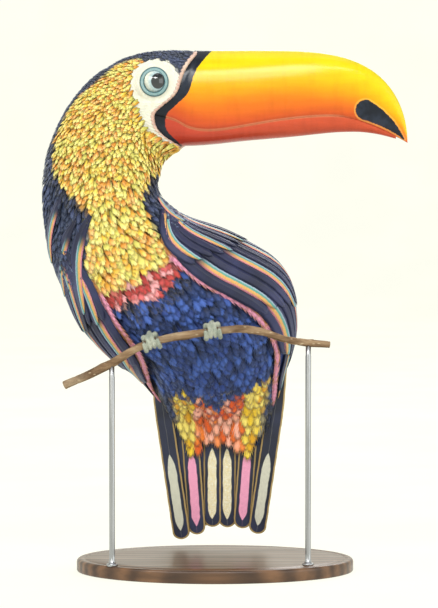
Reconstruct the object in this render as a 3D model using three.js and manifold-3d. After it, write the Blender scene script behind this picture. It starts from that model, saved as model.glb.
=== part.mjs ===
// A toco toucan, life size, perched upright on a cut length of branch with its head turned to its left,
// on a plain display stand. Millimetres, +Z up: the breast faces -Y and the bill points along +X, so the
// bird's left side is towards +X. The origin is the centre of the base's underside.
import * as THREE from "three";
import { mergeVertices } from "three/addons/utils/BufferGeometryUtils.js";
import Module from "manifold-3d";

const wasm = await Module();
wasm.setup();

// ---------------------------------------------------------------- driving dimensions
const GAP = 0.3; // clearance between pieces that touch

const HEAD_Y = -2; // the head's own plane of symmetry
const EYE = { at: [-50.8, 415.4], radius: 11.5, proud: 4.2 }; // X and Z, ball radius, how far it stands out
const BILL_BACK = -60; // the bill's sections start here, inside the head
const BILL_TIP = [163, 364.5];
const BILL_TOP = 442.5; // the culmen's height along its straight part
const CULMEN_BEND = 18; // where the culmen starts to curve down
const CULMEN_POWER = 4.1; // how late in its length the culmen turns down
const BILL_HALF_WIDTH = 22.5;

const TAIL = {
  root: [4, 36, 186],
  tip: [4, 62, 22],
  pairs: 5,
  width: 15.4,
  rootWidth: 12,
  thick: 1.4,
  pairStep: 1.2, // from one pair to the next, through the stack
  droop: 0.35, // how much of that step the outer pairs give back, which hollows the tail underneath
  spacing: 6.55, // between neighbours at their tips, and from the centre line to the first
  splay: 8, // degrees by which the outermost feathers run in towards their tips
  middleShort: 7.2, // how far above the tail's tip the middle pair ends
  // How much longer each pair is than the middle one: per pair, and per pair squared.
  longer: { left: [-1.07, 0.61], right: [4.07, -0.21] },
  facing: -97,
};

const FEET_X = { right: -53, left: -2 };
const TOE_RADIUS = 1.85;
const TOE_SPREAD = 1.85; // half of the distance between neighbouring toes

const ROD_X = { left: 78, right: -86 };
const ROD_RADIUS = 2.4;
const BASE = { halfLength: 118, halfDepth: 80, height: 11, edge: 3 };

// The body's cross-sections from the tail coverts up to the crown: centre, half-width, half-depth front to
// back, lean of the section towards -X and towards -Y in degrees, and the compass direction its front
// faces, in degrees from +X. The neck turns that from the trunk's to +X.
const BODY = [
  { part: "covert tips", at: [4, 49, 103], wide: 36, deep: 7, lean: 0, pitch: 9, facing: -99 },
  { part: "under-tail", at: [3, 46, 130], wide: 46, deep: 16, lean: 2, pitch: 14, facing: -100 },
  { part: "vent", at: [1, 39, 158], wide: 55.5, deep: 32, lean: 9, pitch: 18, facing: -101 },
  { part: "lower belly", at: [-1, 28, 190], wide: 67, deep: 48, lean: 19, pitch: 20, facing: -101 },
  { part: "belly", at: [-16, 16, 220], wide: 74, deep: 57, lean: 28, pitch: 18, facing: -101 },
  { part: "breast", at: [-49, 5, 247], wide: 70, deep: 58, lean: 32, pitch: 13, facing: -100 },
  { part: "upper breast", at: [-78, -2, 273], wide: 58, deep: 54, lean: 30, pitch: 7, facing: -88 },
  { part: "neck base", at: [-95.2, -5, 303], wide: 51.2, deep: 51.2, lean: 20, pitch: 2, facing: -60 },
  { part: "neck", at: [-97, -4, 341], wide: 42.5, deep: 50, lean: 3, pitch: 0, facing: -18 },
  { part: "nape", at: [-90, -3, 374], wide: 35, deep: 43, lean: -14, pitch: 0, facing: -3 },
  { part: "back of skull", at: [-80, -2, 400], wide: 28, deep: 33, lean: -28, pitch: 0, facing: 0 },
  { part: "crown", at: [-72, -2, 417], wide: 20, deep: 22, lean: -34, pitch: 0, facing: 0 },
  { part: "crown top", at: [-67, -2, 427], wide: 8, deep: 9, lean: -36, pitch: 0, facing: 0 },
];
const station = (part) =>
  BODY.findIndex((s) => s.part === part) / (BODY.length - 1);

// The front of the head as upright sections along X.
const HEAD = [
  { x: -97, top: 422, bottom: 386, wide: 16 },
  { x: -88, top: 431, bottom: 372, wide: 23 },
  { x: -72, top: 438.5, bottom: 360, wide: 27.5 },
  { x: -54, top: 442.5, bottom: 350, wide: 28.5 },
  { x: -35, top: 443.5, bottom: 355, wide: 26.5 },
  { x: -14, top: 442.5, bottom: 359, wide: 24 },
  { x: 6, top: 442, bottom: 361, wide: 21 },
];

// The line where feathers meet bill, from chin to forehead (X, Z): its rearmost point is the gape.
const BILL_BASE_LINE = [
  [-34, 343],
  [-31, 353],
  [-28.5, 361],
  [-35, 365],
  [-42.5, 370],
  [-48.2, 376],
  [-50.5, 383],
  [-50, 389.5],
  [-43, 396],
  [-34.5, 403],
  [-30, 410],
  [-28, 417],
  [-25.3, 424],
  [-21.2, 431],
  [-13, 441],
  [-4, 455],
];
const TOMIUM = [
  [-60, 390],
  [-36, 384.5],
  [-22, 377.6],
  [-8, 375.1],
  [8, 376.1],
  [28, 379.4],
  [50, 383.2],
  [75, 386.2],
  [98, 387.3],
  [112, 385.8],
  [126, 381.8],
  [140, 376],
  [150, 371.3],
  [157, 367.8],
  [163, 364.5],
];
const GONYS = [
  [-60, 361],
  [-30, 361.6],
  [-5, 362.8],
  [25, 366],
  [65, 369.5],
  [96, 372.8],
  [112, 373.7],
  [126, 373.4],
  [140, 371.3],
  [153, 368],
];

// The folded wing in the trunk's own frame, from shoulder to tip. lift is how far it stands out from the
// trunk's section, centre and half are angles round the trunk from its side towards its back.
const WING = [
  { along: "neck base", lift: 1, centre: -10, half: 5, thick: 5 },
  { along: "upper breast", lift: 2.4, centre: -10, half: 44, thick: 12 },
  { along: "breast", lift: 6.2, centre: -4, half: 54, thick: 14 },
  { along: "belly", lift: 10, centre: 4, half: 54, thick: 14 },
  { along: "lower belly", lift: 8.6, centre: 13, half: 48, thick: 13 },
  { along: "vent", lift: 6, centre: 18, half: 38, thick: 10 },
  { along: "under-tail", lift: 8.5, centre: 20, half: 26, thick: 7 },
  { along: "covert tips", lift: 13, centre: 12, half: 6, thick: 3 },
];

const PERCH = [
  { at: [-126, -45, 162], radius: 3.6 },
  { at: [-92, -48, 177.5], radius: 3.5 },
  { at: [-54, -50, 198], radius: 3.3 },
  { at: [-2, -51, 207.5], radius: 3.2 },
  { at: [30, -49, 209], radius: 3.1 },
  { at: [64, -46, 199.5], radius: 3.0 },
  { at: [96, -43, 196], radius: 2.9 },
];

const sides = { left: 1, right: -1 };

// ---------------------------------------------------------------- colours
const finish = (color, roughness, metalness = 0) =>
  new THREE.MeshStandardMaterial({ color, roughness, metalness });
const PLUMAGE = finish(0x12162c, 0.55);
const BELLY_PLUMAGE = finish(0x18245c, 0.55);
const BIB = finish(0xe8c23a, 0.7);
const FACE = finish(0xe9e2d2, 0.5);
const UNDERTAIL = finish(0xd8431f, 0.7);
const BILL_ORANGE = finish(0xf39a12, 0.3);
const BILL_RED = finish(0xd5492b, 0.3);
const EYE_GLOSS = finish(0x0d1013, 0.05);
const FOOT_SKIN = finish(0x9fb0ab, 0.6);
const CLAW_HORN = finish(0x2c2a2b, 0.35);
const BARK = finish(0x8a6a4c, 0.85);
const ROD_STEEL = finish(0x8d9094, 0.35, 1);
const BASE_WOOD = finish(0x4a3020, 0.5);

// ---------------------------------------------------------------- helpers
const rad = THREE.MathUtils.degToRad;
const vec = (x, y, z) => new THREE.Vector3(x, y, z);

// A smooth curve through [x, y] points, read by x.
function profile(points) {
  const curve = new THREE.SplineCurve(points.map(([x, y]) => new THREE.Vector2(x, y)));
  const samples = curve.getPoints(200);
  return (x) => {
    const after = samples.findIndex((p) => p.x >= x);
    if (after === 0) return samples[0].y;
    if (after < 0) return samples.at(-1).y;
    const [a, b] = [samples[after - 1], samples[after]];
    return a.y + ((b.y - a.y) * (x - a.x)) / (b.x - a.x);
  };
}

// A number that varies smoothly from one equally spaced station to the next.
function varying(values) {
  const curve = new THREE.SplineCurve(values.map((v, i) => new THREE.Vector2(i, v)));
  return (t) => curve.getPoint(THREE.MathUtils.clamp(t, 0, 1)).y;
}

// A closed surface through rings of points, each end shut by a fan.
function loft(rings) {
  const sides = rings[0].length;
  const points = rings.flat();
  const faces = [];
  for (let ring = 0; ring + 1 < rings.length; ring++)
    for (let side = 0; side < sides; side++) {
      const a = ring * sides + side;
      const b = ring * sides + ((side + 1) % sides);
      faces.push(a, b, b + sides, a, b + sides, a + sides);
    }
  for (const [ring, turn] of [
    [0, 1],
    [rings.length - 1, 0],
  ]) {
    const middle = points.length;
    points.push(
      rings[ring].reduce((sum, p) => sum.add(p), vec(0, 0, 0)).divideScalar(sides),
    );
    for (let side = 0; side < sides; side++) {
      const pair = [ring * sides + side, ring * sides + ((side + 1) % sides)];
      faces.push(middle, pair[turn], pair[1 - turn]);
    }
  }
  return new THREE.BufferGeometry().setFromPoints(points).setIndex(faces);
}

// A solid from a closed geometry, turned face out if need be.
function solid(geometry) {
  const bare = geometry.clone();
  bare.deleteAttribute("normal");
  bare.deleteAttribute("uv");
  const merged = mergeVertices(bare, 1e-3);
  const triVerts = new Uint32Array(merged.index.array);
  const make = () =>
    new wasm.Manifold(
      new wasm.Mesh({
        numProp: 3,
        vertProperties: merged.attributes.position.array,
        triVerts,
      }),
    );
  const made = make();
  if (made.volume() > 0) return made;
  for (let i = 0; i < triVerts.length; i += 3)
    [triVerts[i + 1], triVerts[i + 2]] = [triVerts[i + 2], triVerts[i + 1]];
  return make();
}

// The largest piece of what is left after cuts, as a named mesh.
function mesh(name, shape, material) {
  const body = shape.decompose().sort((a, b) => b.volume() - a.volume())[0];
  const made = body.getMesh();
  const geometry = new THREE.BufferGeometry()
    .setAttribute("position", new THREE.BufferAttribute(made.vertProperties, 3))
    .setIndex(new THREE.BufferAttribute(made.triVerts, 1));
  const part = new THREE.Mesh(geometry, material);
  part.name = name;
  return part;
}

const join = (solids) => solids.reduce((sum, s) => sum.add(s));
const cutAll = (shape, cutters) => cutters.reduce((rest, c) => rest.subtract(c), shape);

// A shape moved by the gap both ways along each axis, to cut a neighbour with.
const cleared = (shape) =>
  join(
    [-GAP, GAP]
      .flatMap((d) => [
        [d, 0, 0],
        [0, d, 0],
        [0, 0, d],
      ])
      .map((move) => shape.translate(move)),
  );

// The two sides of a shape cut by a plane through a point, with the gap left between them.
function partBy(shape, normal, point) {
  const n = vec(...normal).normalize();
  const offset = n.dot(vec(...point));
  const [x, y, z] = n.toArray();
  return [
    shape.trimByPlane([x, y, z], offset + GAP / 2),
    shape.trimByPlane([-x, -y, -z], -offset + GAP / 2),
  ];
}

// A superellipse's sine or cosine, a little fuller than a circle's.
const FULLNESS = 0.92;
const full = (s) => Math.sign(s) * Math.abs(s) ** FULLNESS;

// ---------------------------------------------------------------- body and head
const bodyCurve = new THREE.CatmullRomCurve3(
  BODY.map((s) => vec(...s.at)),
  false,
  "catmullrom",
);
const bodyWide = varying(BODY.map((s) => s.wide));
const bodyDeep = varying(BODY.map((s) => s.deep));
const bodyFacing = varying(BODY.map((s) => s.facing));
const bodyLean = varying(BODY.map((s) => s.lean));
const bodyPitch = varying(BODY.map((s) => s.pitch));

// The axes of a section square to up: towards its front, which faces the given azimuth, and its left.
function acrossSection(up, facing) {
  const front = vec(Math.cos(rad(facing)), Math.sin(rad(facing)), 0);
  front.addScaledVector(up, -front.dot(up)).normalize();
  return { front, left: up.clone().cross(front) };
}

function bodyFrame(t) {
  const up = vec(-Math.tan(rad(bodyLean(t))), -Math.tan(rad(bodyPitch(t))), 1).normalize();
  return { centre: bodyCurve.getPoint(t), ...acrossSection(up, bodyFacing(t)) };
}

function bodyShape(grow) {
  const RINGS = 26;
  const SIDES = 20;
  const rings = [];
  for (let i = 0; i <= RINGS; i++) {
    const t = i / RINGS;
    const { centre, front, left } = bodyFrame(t);
    rings.push(
      Array.from({ length: SIDES }, (_, k) => {
        const angle = (2 * Math.PI * k) / SIDES;
        return centre
          .clone()
          .addScaledVector(left, (bodyWide(t) + grow) * full(Math.cos(angle)))
          .addScaledVector(front, (bodyDeep(t) + grow) * full(Math.sin(angle)));
      }),
    );
  }
  return solid(loft(rings));
}

function headShape() {
  const SECTIONS = 9;
  const SIDES = 18;
  const [x, top, bottom, wide] = ["x", "top", "bottom", "wide"].map((key) =>
    varying(HEAD.map((s) => s[key])),
  );
  const rings = Array.from({ length: SECTIONS + 1 }, (_, i) => {
    const t = i / SECTIONS;
    return Array.from({ length: SIDES }, (_, k) => {
      const angle = (2 * Math.PI * k) / SIDES;
      return vec(
        x(t),
        HEAD_Y + wide(t) * full(Math.cos(angle)),
        THREE.MathUtils.lerp(bottom(t), top(t), 0.5 + 0.5 * full(Math.sin(angle))),
      );
    });
  });
  return solid(loft(rings));
}

const eyeCentre = (side) => {
  const cheek = 27.6; // the head's half-width at the eye
  return vec(EYE.at[0], HEAD_Y + side * (cheek + EYE.proud - EYE.radius), EYE.at[1]);
};

function ball(centre, radius) {
  return solid(new THREE.SphereGeometry(radius, 12, 8).translate(...centre.toArray()));
}

// ---------------------------------------------------------------- bill
// Everything in front of the line where the feathers end.
function billRegion(back) {
  const line = new THREE.SplineCurve(
    BILL_BASE_LINE.map(([x, z]) => new THREE.Vector2(x - back, z)),
  ).getPoints(36);
  const shape = new THREE.Shape([
    ...line,
    new THREE.Vector2(BILL_TIP[0] + 20, line.at(-1).y),
    new THREE.Vector2(BILL_TIP[0] + 20, line[0].y),
  ]);
  const depth = 100;
  return solid(
    new THREE.ExtrudeGeometry(shape, { depth, bevelEnabled: false })
      .rotateX(Math.PI / 2)
      .translate(0, HEAD_Y + depth / 2, 0),
  );
}

const tomium = profile(TOMIUM);
const gonys = profile(GONYS);

function culmen(x) {
  const bend = Math.max(0, (x - CULMEN_BEND) / (BILL_TIP[0] - CULMEN_BEND));
  const fall = Math.sqrt(Math.max(0, 1 - bend ** CULMEN_POWER));
  return BILL_TIP[1] + (BILL_TOP - BILL_TIP[1]) * fall;
}

function billHalfWidth(x) {
  const along = THREE.MathUtils.clamp((x + 40) / (BILL_TIP[0] + 40), 0, 1);
  return BILL_HALF_WIDTH * (1 - along ** 2.1) ** 0.8 * (1 - 0.18 * along) + 0.5;
}

// Half of the bill: rings of a half ellipse over a flat, from a line at height edge to one at height ridge.
function billHalf(tip, edge, ridge, breadth, shift) {
  const SECTIONS = 40;
  const ARC = 10;
  const rings = [];
  for (let i = 0; i <= SECTIONS; i++) {
    const x = BILL_BACK + (tip - BILL_BACK) * Math.sin((Math.PI / 2) * (i / SECTIONS));
    const low = edge(x) + shift;
    const rise = ridge(x) - low || Math.sign(shift) * 0.3;
    rings.push(
      Array.from({ length: ARC + 1 }, (_, k) => {
        const angle = (Math.PI * k) / ARC;
        const y = breadth * billHalfWidth(x) * Math.cos(angle);
        return vec(x, HEAD_Y + y, low + rise * Math.sin(angle) ** 0.85);
      }),
    );
  }
  return solid(loft(rings));
}

function billUpper() {
  return billHalf(BILL_TIP[0], tomium, (x) => Math.max(culmen(x), tomium(x) + 0.8), 1, GAP / 2);
}

function billLower() {
  const tip = GONYS.at(-1)[0];
  return billHalf(tip, tomium, (x) => Math.min(gonys(x), tomium(x) - 0.8), 0.94, -GAP / 2);
}

// ---------------------------------------------------------------- wings and tail
const wingKnots = WING.map((w) => station(w.along));
const wingT = varying(wingKnots);
const wingSize = Object.fromEntries(
  ["lift", "centre", "half", "thick"].map((key) => [
    key,
    varying(WING.map((w) => w[key])),
  ]),
);

// A folded wing: a curved blade that wraps the trunk's side, thickest along its middle.
function wingShape(side) {
  const RINGS = 14;
  const ACROSS = 7;
  const rings = [];
  for (let i = 0; i <= RINGS; i++) {
    const s = i / RINGS;
    const t = wingT(s);
    const { centre, front, left } = bodyFrame(t);
    const at = (v, reach) => {
      const angle = rad(wingSize.centre(s) + wingSize.half(s) * v);
      return centre
        .clone()
        .addScaledVector(left, side * (bodyWide(t) + reach) * full(Math.cos(angle)))
        .addScaledVector(front, -(bodyDeep(t) + reach) * full(Math.sin(angle)));
    };
    const outer = [];
    const inner = [];
    for (let k = 0; k <= ACROSS; k++) {
      const v = (2 * k) / ACROSS - 1;
      const reach = wingSize.lift(s) * (1 - 0.45 * Math.abs(v) ** 3);
      outer.push(at(v, reach));
      inner.unshift(at(v, reach - 2 - wingSize.thick(s) * (1 - v ** 4) ** 0.6));
    }
    rings.push([...outer, ...inner]);
  }
  return solid(loft(rings));
}

// One tail feather, hanging along -Z from its root, its flat facing -Y.
function tailFeather(length) {
  const { width, rootWidth, thick } = TAIL;
  const shape = new THREE.Shape();
  shape.moveTo(-rootWidth / 2, 0);
  const half = width / 2;
  const round = half * 1.1 - length; // where the sides end and the rounded tip starts
  shape.bezierCurveTo(-half, -length * 0.3, -half, -length * 0.5, -half, round);
  shape.bezierCurveTo(-half, -length, half, -length, half, round);
  shape.bezierCurveTo(half, -length * 0.5, half, -length * 0.3, rootWidth / 2, 0);
  return new THREE.ExtrudeGeometry(shape, {
    depth: thick,
    bevelEnabled: false,
    curveSegments: 3,
  }).rotateX(Math.PI / 2);
}

function tailShape() {
  const root = vec(...TAIL.root);
  const down = vec(...TAIL.tip).sub(root);
  const middle = down.length() - TAIL.middleShort;
  const up = down.negate().normalize();
  const { front, left } = acrossSection(up, TAIL.facing);
  const hung = new THREE.Matrix4().makeBasis(left, front, up).setPosition(root);
  const feathers = [];
  for (let pair = 0; pair < TAIL.pairs; pair++)
    for (const [side, sign] of Object.entries(sides)) {
      const [perPair, perSquare] = TAIL.longer[side];
      const length = middle + perPair * pair + perSquare * pair ** 2;
      const layer = TAIL.pairStep * (pair + (sign < 0 ? 0.5 : 0)) - TAIL.droop * pair;
      const splay = rad((TAIL.splay * pair) / (TAIL.pairs - 1));
      const out = TAIL.spacing * (pair + 1) + length * Math.sin(splay);
      const feather = tailFeather(length)
        .rotateY(sign * splay)
        .translate(sign * out, layer, 0)
        .applyMatrix4(hung);
      feathers.push(solid(feather));
    }
  return join(feathers);
}

// ---------------------------------------------------------------- perch, feet and stand
const perchCurve = new THREE.CatmullRomCurve3(
  PERCH.map((p) => vec(...p.at)),
  false,
  "catmullrom",
);
const perchRadius = varying(PERCH.map((p) => p.radius));

// The perch's parameter at a given X.
function perchAt(x) {
  let [low, high] = [0, 1];
  for (let i = 0; i < 40; i++) {
    const middle = (low + high) / 2;
    if (perchCurve.getPoint(middle).x < x) low = middle;
    else high = middle;
  }
  return low;
}

// Axes across a tube at t: its direction, a level one across it, and the one above both.
function tubeFrame(curve, t) {
  const along = curve.getTangent(t);
  const fore = vec(0, -1, 0).addScaledVector(along, along.y).normalize();
  return { centre: curve.getPoint(t), along, fore, up: fore.clone().cross(along) };
}

function tube(curve, radius, rings, sides) {
  return solid(
    loft(
      Array.from({ length: rings + 1 }, (_, i) => {
        const t = i / rings;
        const { centre, fore, up } = tubeFrame(curve, t);
        return Array.from({ length: sides }, (_, k) => {
          const angle = (2 * Math.PI * k) / sides;
          return centre
            .clone()
            .addScaledVector(fore, radius(t) * Math.cos(angle))
            .addScaledVector(up, radius(t) * Math.sin(angle));
        });
      }),
    ),
  );
}

const perchShape = (grow) => tube(perchCurve, (t) => perchRadius(t) + grow, 14, 9);

// A tube through points, its radius varying from its root to its end.
function limb(points, radii, rings, sides) {
  const curve = new THREE.CatmullRomCurve3(points, false, "centripetal");
  const radius = varying(radii);
  const frames = curve.computeFrenetFrames(rings, false);
  return solid(
    loft(
      Array.from({ length: rings + 1 }, (_, i) => {
        const centre = curve.getPointAt(i / rings);
        return Array.from({ length: sides }, (_, k) => {
          const angle = (2 * Math.PI * k) / sides;
          return centre
            .clone()
            .addScaledVector(frames.normals[i], radius(i / rings) * Math.cos(angle))
            .addScaledVector(frames.binormals[i], radius(i / rings) * Math.sin(angle));
        });
      }),
    ),
  );
}

// The four toes of a foot: which way each wraps the perch, where it sits across, and how far it reaches.
const TOES = [
  { fore: 1, across: -1, from: -25, to: 150, clawTo: 222 },
  { fore: 1, across: 1, from: -25, to: 144, clawTo: 214 },
  { fore: -1, across: -3, from: -25, to: 274, clawTo: 309 },
  { fore: -1, across: 3, from: -25, to: 279, clawTo: 312 },
];

// Points round the perch from one angle to another, measured from its top towards the front or the back.
function wrap(frame, toe, from, to, reach, count) {
  return Array.from({ length: count }, (_, i) => {
    const share = i / (count - 1);
    const angle = rad(from + (to - from) * share);
    return frame.centre
      .clone()
      .addScaledVector(frame.along, toe.across * TOE_SPREAD * (0.85 + 0.2 * Math.min(1, 2 * share)))
      .addScaledVector(frame.up, reach(share) * Math.cos(angle))
      .addScaledVector(frame.fore, toe.fore * reach(share) * Math.sin(angle));
  });
}

function foot(x, grow) {
  const t = perchAt(x);
  const frame = tubeFrame(perchCurve, t);
  const surface = perchRadius(t) + GAP;
  const grown = (radii) => radii.map((radius) => radius * TOE_RADIUS + grow);
  const toes = TOES.map((toe) =>
    limb(
      wrap(frame, toe, toe.from, toe.to, (s) => surface + TOE_RADIUS * (1.2 - 0.3 * s), 9),
      grown([1.05, 1, 0.97, 0.86]),
      toe.fore > 0 ? 5 : 8,
      6,
    ),
  );
  const claws = TOES.map((toe) =>
    limb(
      wrap(frame, toe, toe.to - 6, toe.clawTo, (s) => surface + TOE_RADIUS * (0.78 + 0.75 * s * s), 6),
      grown([0.62, 0.5, 0.3, 0.1]),
      4,
      5,
    ),
  );
  const ankle = frame.centre.clone().addScaledVector(frame.up, surface + TOE_RADIUS * 1.1);
  const tarsus = limb(
    [
      ankle.clone().add(vec(0, -3, 0.8)),
      ankle.clone().add(vec(0, 1, 3)),
      ankle.clone().add(vec(0, 8, 9)),
      ankle.clone().add(vec(0, 14, 15)),
    ],
    grown([1.1, 1.3, 1.15, 1.15]),
    5,
    7,
  );
  return { frame, toes: join([...toes, tarsus]), claws };
}

// The feathered thigh, a lobe of the belly just behind and above the foot.
function thigh(x, grow) {
  const { centre } = tubeFrame(perchCurve, perchAt(x));
  return solid(
    new THREE.SphereGeometry(1, 11, 7)
      .scale(21 + grow, 15 + grow, 27 + grow)
      .rotateX(rad(-16))
      .translate(centre.x, centre.y + 17, centre.z + 27),
  );
}

function rod(x, perchCutter) {
  const t = perchAt(x);
  const centre = perchCurve.getPoint(t);
  const bottom = BASE.height + GAP;
  const height = centre.z - bottom;
  return solid(
    new THREE.CylinderGeometry(ROD_RADIUS, ROD_RADIUS, height, 12)
      .rotateX(Math.PI / 2)
      .translate(centre.x, centre.y, bottom + height / 2),
  ).subtract(perchCutter);
}

function baseShape() {
  const { halfLength, halfDepth, height, edge } = BASE;
  const rim = [new THREE.Vector2(0, 0), new THREE.Vector2(halfLength - 1, 0)];
  rim.push(new THREE.Vector2(halfLength, 1));
  for (let i = 0; i <= 2; i++) {
    const angle = (Math.PI / 2) * (i / 2);
    rim.push(
      new THREE.Vector2(
        halfLength - edge + edge * Math.cos(angle),
        height - edge + edge * Math.sin(angle),
      ),
    );
  }
  rim.push(new THREE.Vector2(0, height));
  return solid(
    new THREE.LatheGeometry(rim, 32)
      .rotateX(Math.PI / 2)
      .scale(1, halfDepth / halfLength, 1),
  );
}

// ---------------------------------------------------------------- assembly
const toucan = new THREE.Group();

const region = billRegion(0);
const perch = perchShape(0);
const perchCutter = perchShape(GAP);
const bodyCutter = bodyShape(GAP);
const feet = Object.fromEntries(
  Object.entries(FEET_X).map(([side, x]) => [side, foot(x, 0)]),
);
const footCutters = Object.values(FEET_X).flatMap((x) => {
  const { toes, claws } = foot(x, GAP);
  return [toes, ...claws];
});
const thighCutters = Object.values(FEET_X).map((x) => thigh(x, GAP));

// A left wing lies on the viewer's right, because the breast faces the viewer.
const wings = Object.fromEntries(
  Object.entries(sides).map(([side, sign]) => [
    side,
    cutAll(wingShape(sign), [bodyCutter, ...thighCutters]),
  ]),
);
// The head has turned to the bird's left, so its left eye is on the far side.
const eyes = Object.fromEntries(
  Object.entries(sides).map(([side, sign]) => [side, eyeCentre(sign)]),
);

const flesh = cutAll(bodyShape(0).add(headShape()), [
  billRegion(GAP),
  perchCutter,
  ...Object.values(eyes).map((centre) => ball(centre, EYE.radius + GAP)),
  ...thighCutters,
  ...footCutters,
]);
const [head, belowHead] = partBy(flesh, [0.35, 0, 1], [-86, HEAD_Y, 366]);
const [neck, belowNeck] = partBy(belowHead, [-0.36, -0.1, 1], [-78, -7, 300]);
const [trunk, coverts] = partBy(belowNeck, [0, -0.45, 1], [8, 42, 150]);

toucan.add(mesh("head", head, FACE));
toucan.add(mesh("neck", neck, BIB));
toucan.add(mesh("trunk", trunk, BELLY_PLUMAGE));
toucan.add(mesh("tail_coverts", coverts, UNDERTAIL));
toucan.add(mesh("bill_upper", billUpper().intersect(region), BILL_ORANGE));
toucan.add(mesh("bill_lower", billLower().intersect(region), BILL_RED));
const tail = cutAll(tailShape(), [bodyCutter, ...Object.values(wings).map(cleared)]);
toucan.add(mesh("tail", tail, PLUMAGE));
toucan.add(mesh("perch", perch, BARK));
toucan.add(mesh("stand_base", baseShape(), BASE_WOOD));

for (const side of Object.keys(sides)) {
  toucan.add(mesh(`eye_${side}`, ball(eyes[side], EYE.radius), EYE_GLOSS));
  toucan.add(mesh(`wing_${side}`, wings[side], PLUMAGE));
  const lobe = cutAll(thigh(FEET_X[side], 0), [perchCutter, ...footCutters]);
  toucan.add(mesh(`thigh_${side}`, lobe, BELLY_PLUMAGE));
  toucan.add(mesh(`foot_${side}`, feet[side].toes.subtract(perchCutter), FOOT_SKIN));
  feet[side].claws.forEach((claw, i) =>
    toucan.add(
      mesh(`claw_${side}_${i + 1}`, cutAll(claw, [foot(FEET_X[side], GAP).toes, perchCutter]), CLAW_HORN),
    ),
  );
  toucan.add(mesh(`stand_rod_${side}`, rod(ROD_X[side], perchCutter), ROD_STEEL));
}

export default toucan;
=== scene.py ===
"""A toco toucan, life size, perched on a cut length of branch on a plain display stand.

Points are worked out in millimetres in the frame of the CAD model and turned into metres as a mesh is made.
The breast faces -Y, the bill points along +X, and +Z is up, so the bird's left side is towards +X.
"""

import math

import bmesh
import bpy
import numpy as np
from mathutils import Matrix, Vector
from mathutils.bvhtree import BVHTree
from mathutils.kdtree import KDTree


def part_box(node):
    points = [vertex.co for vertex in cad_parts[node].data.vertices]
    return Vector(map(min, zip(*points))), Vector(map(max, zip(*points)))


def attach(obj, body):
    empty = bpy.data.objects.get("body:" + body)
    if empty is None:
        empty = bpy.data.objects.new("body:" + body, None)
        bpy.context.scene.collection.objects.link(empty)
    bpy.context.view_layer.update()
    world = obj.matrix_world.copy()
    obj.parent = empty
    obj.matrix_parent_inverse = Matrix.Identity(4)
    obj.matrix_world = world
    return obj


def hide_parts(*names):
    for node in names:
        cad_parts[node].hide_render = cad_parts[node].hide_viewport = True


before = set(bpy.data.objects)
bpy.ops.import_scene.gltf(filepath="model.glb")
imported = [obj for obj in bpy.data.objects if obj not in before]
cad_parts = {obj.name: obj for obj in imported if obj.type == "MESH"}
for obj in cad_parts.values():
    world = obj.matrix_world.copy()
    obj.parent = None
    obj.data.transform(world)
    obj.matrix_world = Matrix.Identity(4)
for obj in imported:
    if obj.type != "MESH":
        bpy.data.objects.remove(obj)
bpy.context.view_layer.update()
rng = np.random.default_rng(11)

MM = 0.001
BODY_NAME = "root"
SIDES = {"left": 1, "right": -1}
HEAD_Y = -2.0


# ---------------------------------------------------------------- numbers that vary smoothly
def varying(values):
    """A smooth function of 0..1 through values at equal steps."""
    v = np.array(values, float)
    last = len(v) - 1

    def read(t):
        place = np.clip(np.asarray(t, float), 0, 1) * last
        i = np.minimum(place.astype(int), last - 1)
        w = place - i
        if v.ndim > 1:
            w = w[..., None]
        before, a, b, after = v[np.maximum(i - 1, 0)], v[i], v[i + 1], v[np.minimum(i + 2, last)]
        start, end = (b - before) / 2, (after - a) / 2
        return (2 * a - 2 * b + start + end) * w**3 + (3 * b - 3 * a - 2 * start - end) * w**2 + start * w + a

    return read


def table(rows):
    """A function of x that goes straight from one (x, value, ...) row to the next."""
    columns = np.array(rows, float).T
    values = columns[1:]

    def read(x):
        found = [np.interp(x, columns[0], v) for v in values]
        return found[0] if len(found) == 1 else found

    return read


def profile(points):
    """A smooth curve through (x, z) points, read by x."""
    samples = varying(points)(np.linspace(0, 1, 400))
    return lambda x: np.interp(x, samples[:, 0], samples[:, 1])


def smooth(low, high, x):
    """0 at low, 1 at high, with an even turn between, whichever is the larger."""
    w = np.clip((x - low) / (high - low), 0, 1)
    return w * w * (3 - 2 * w)


def unit(v):
    return v / np.maximum(np.linalg.norm(v, axis=-1, keepdims=True), 1e-9)


def dot(a, b):
    return np.sum(a * b, axis=-1)


def circle(sides):
    """Angles at equal steps all the way round."""
    return np.linspace(0, 2 * math.pi, sides, endpoint=False)


def full(s):
    """A superellipse's sine or cosine, a little fuller than a circle's, as in the solids."""
    return np.sign(s) * np.abs(s) ** 0.92


# ---------------------------------------------------------------- the body's own coordinates
# Each section of the body, from the tail coverts up to the crown: centre, half-width, half-depth, lean
# towards -X and pitch towards -Y in degrees, and the compass direction its front faces.
BODY = [
    ((4, 49, 103), 36, 7, 0, 9, -99),
    ((3, 46, 130), 46, 16, 2, 14, -100),
    ((1, 39, 158), 55.5, 32, 9, 18, -101),
    ((-1, 28, 190), 67, 48, 19, 20, -101),
    ((-16, 16, 220), 74, 57, 28, 18, -101),
    ((-49, 5, 247), 70, 58, 32, 13, -100),
    ((-78, -2, 273), 58, 54, 30, 7, -88),
    ((-95.2, -5, 303), 51.2, 51.2, 20, 2, -60),
    ((-97, -4, 341), 42.5, 50, 3, 0, -18),
    ((-90, -3, 374), 35, 43, -14, 0, -3),
    ((-80, -2, 400), 28, 33, -28, 0, 0),
    ((-72, -2, 417), 20, 22, -34, 0, 0),
    ((-67, -2, 427), 8, 9, -36, 0, 0),
]
STATIONS = len(BODY) - 1
body_centre, body_wide, body_deep, body_lean, body_pitch, body_facing = (
    varying([row[i] for row in BODY]) for i in range(6)
)


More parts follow.
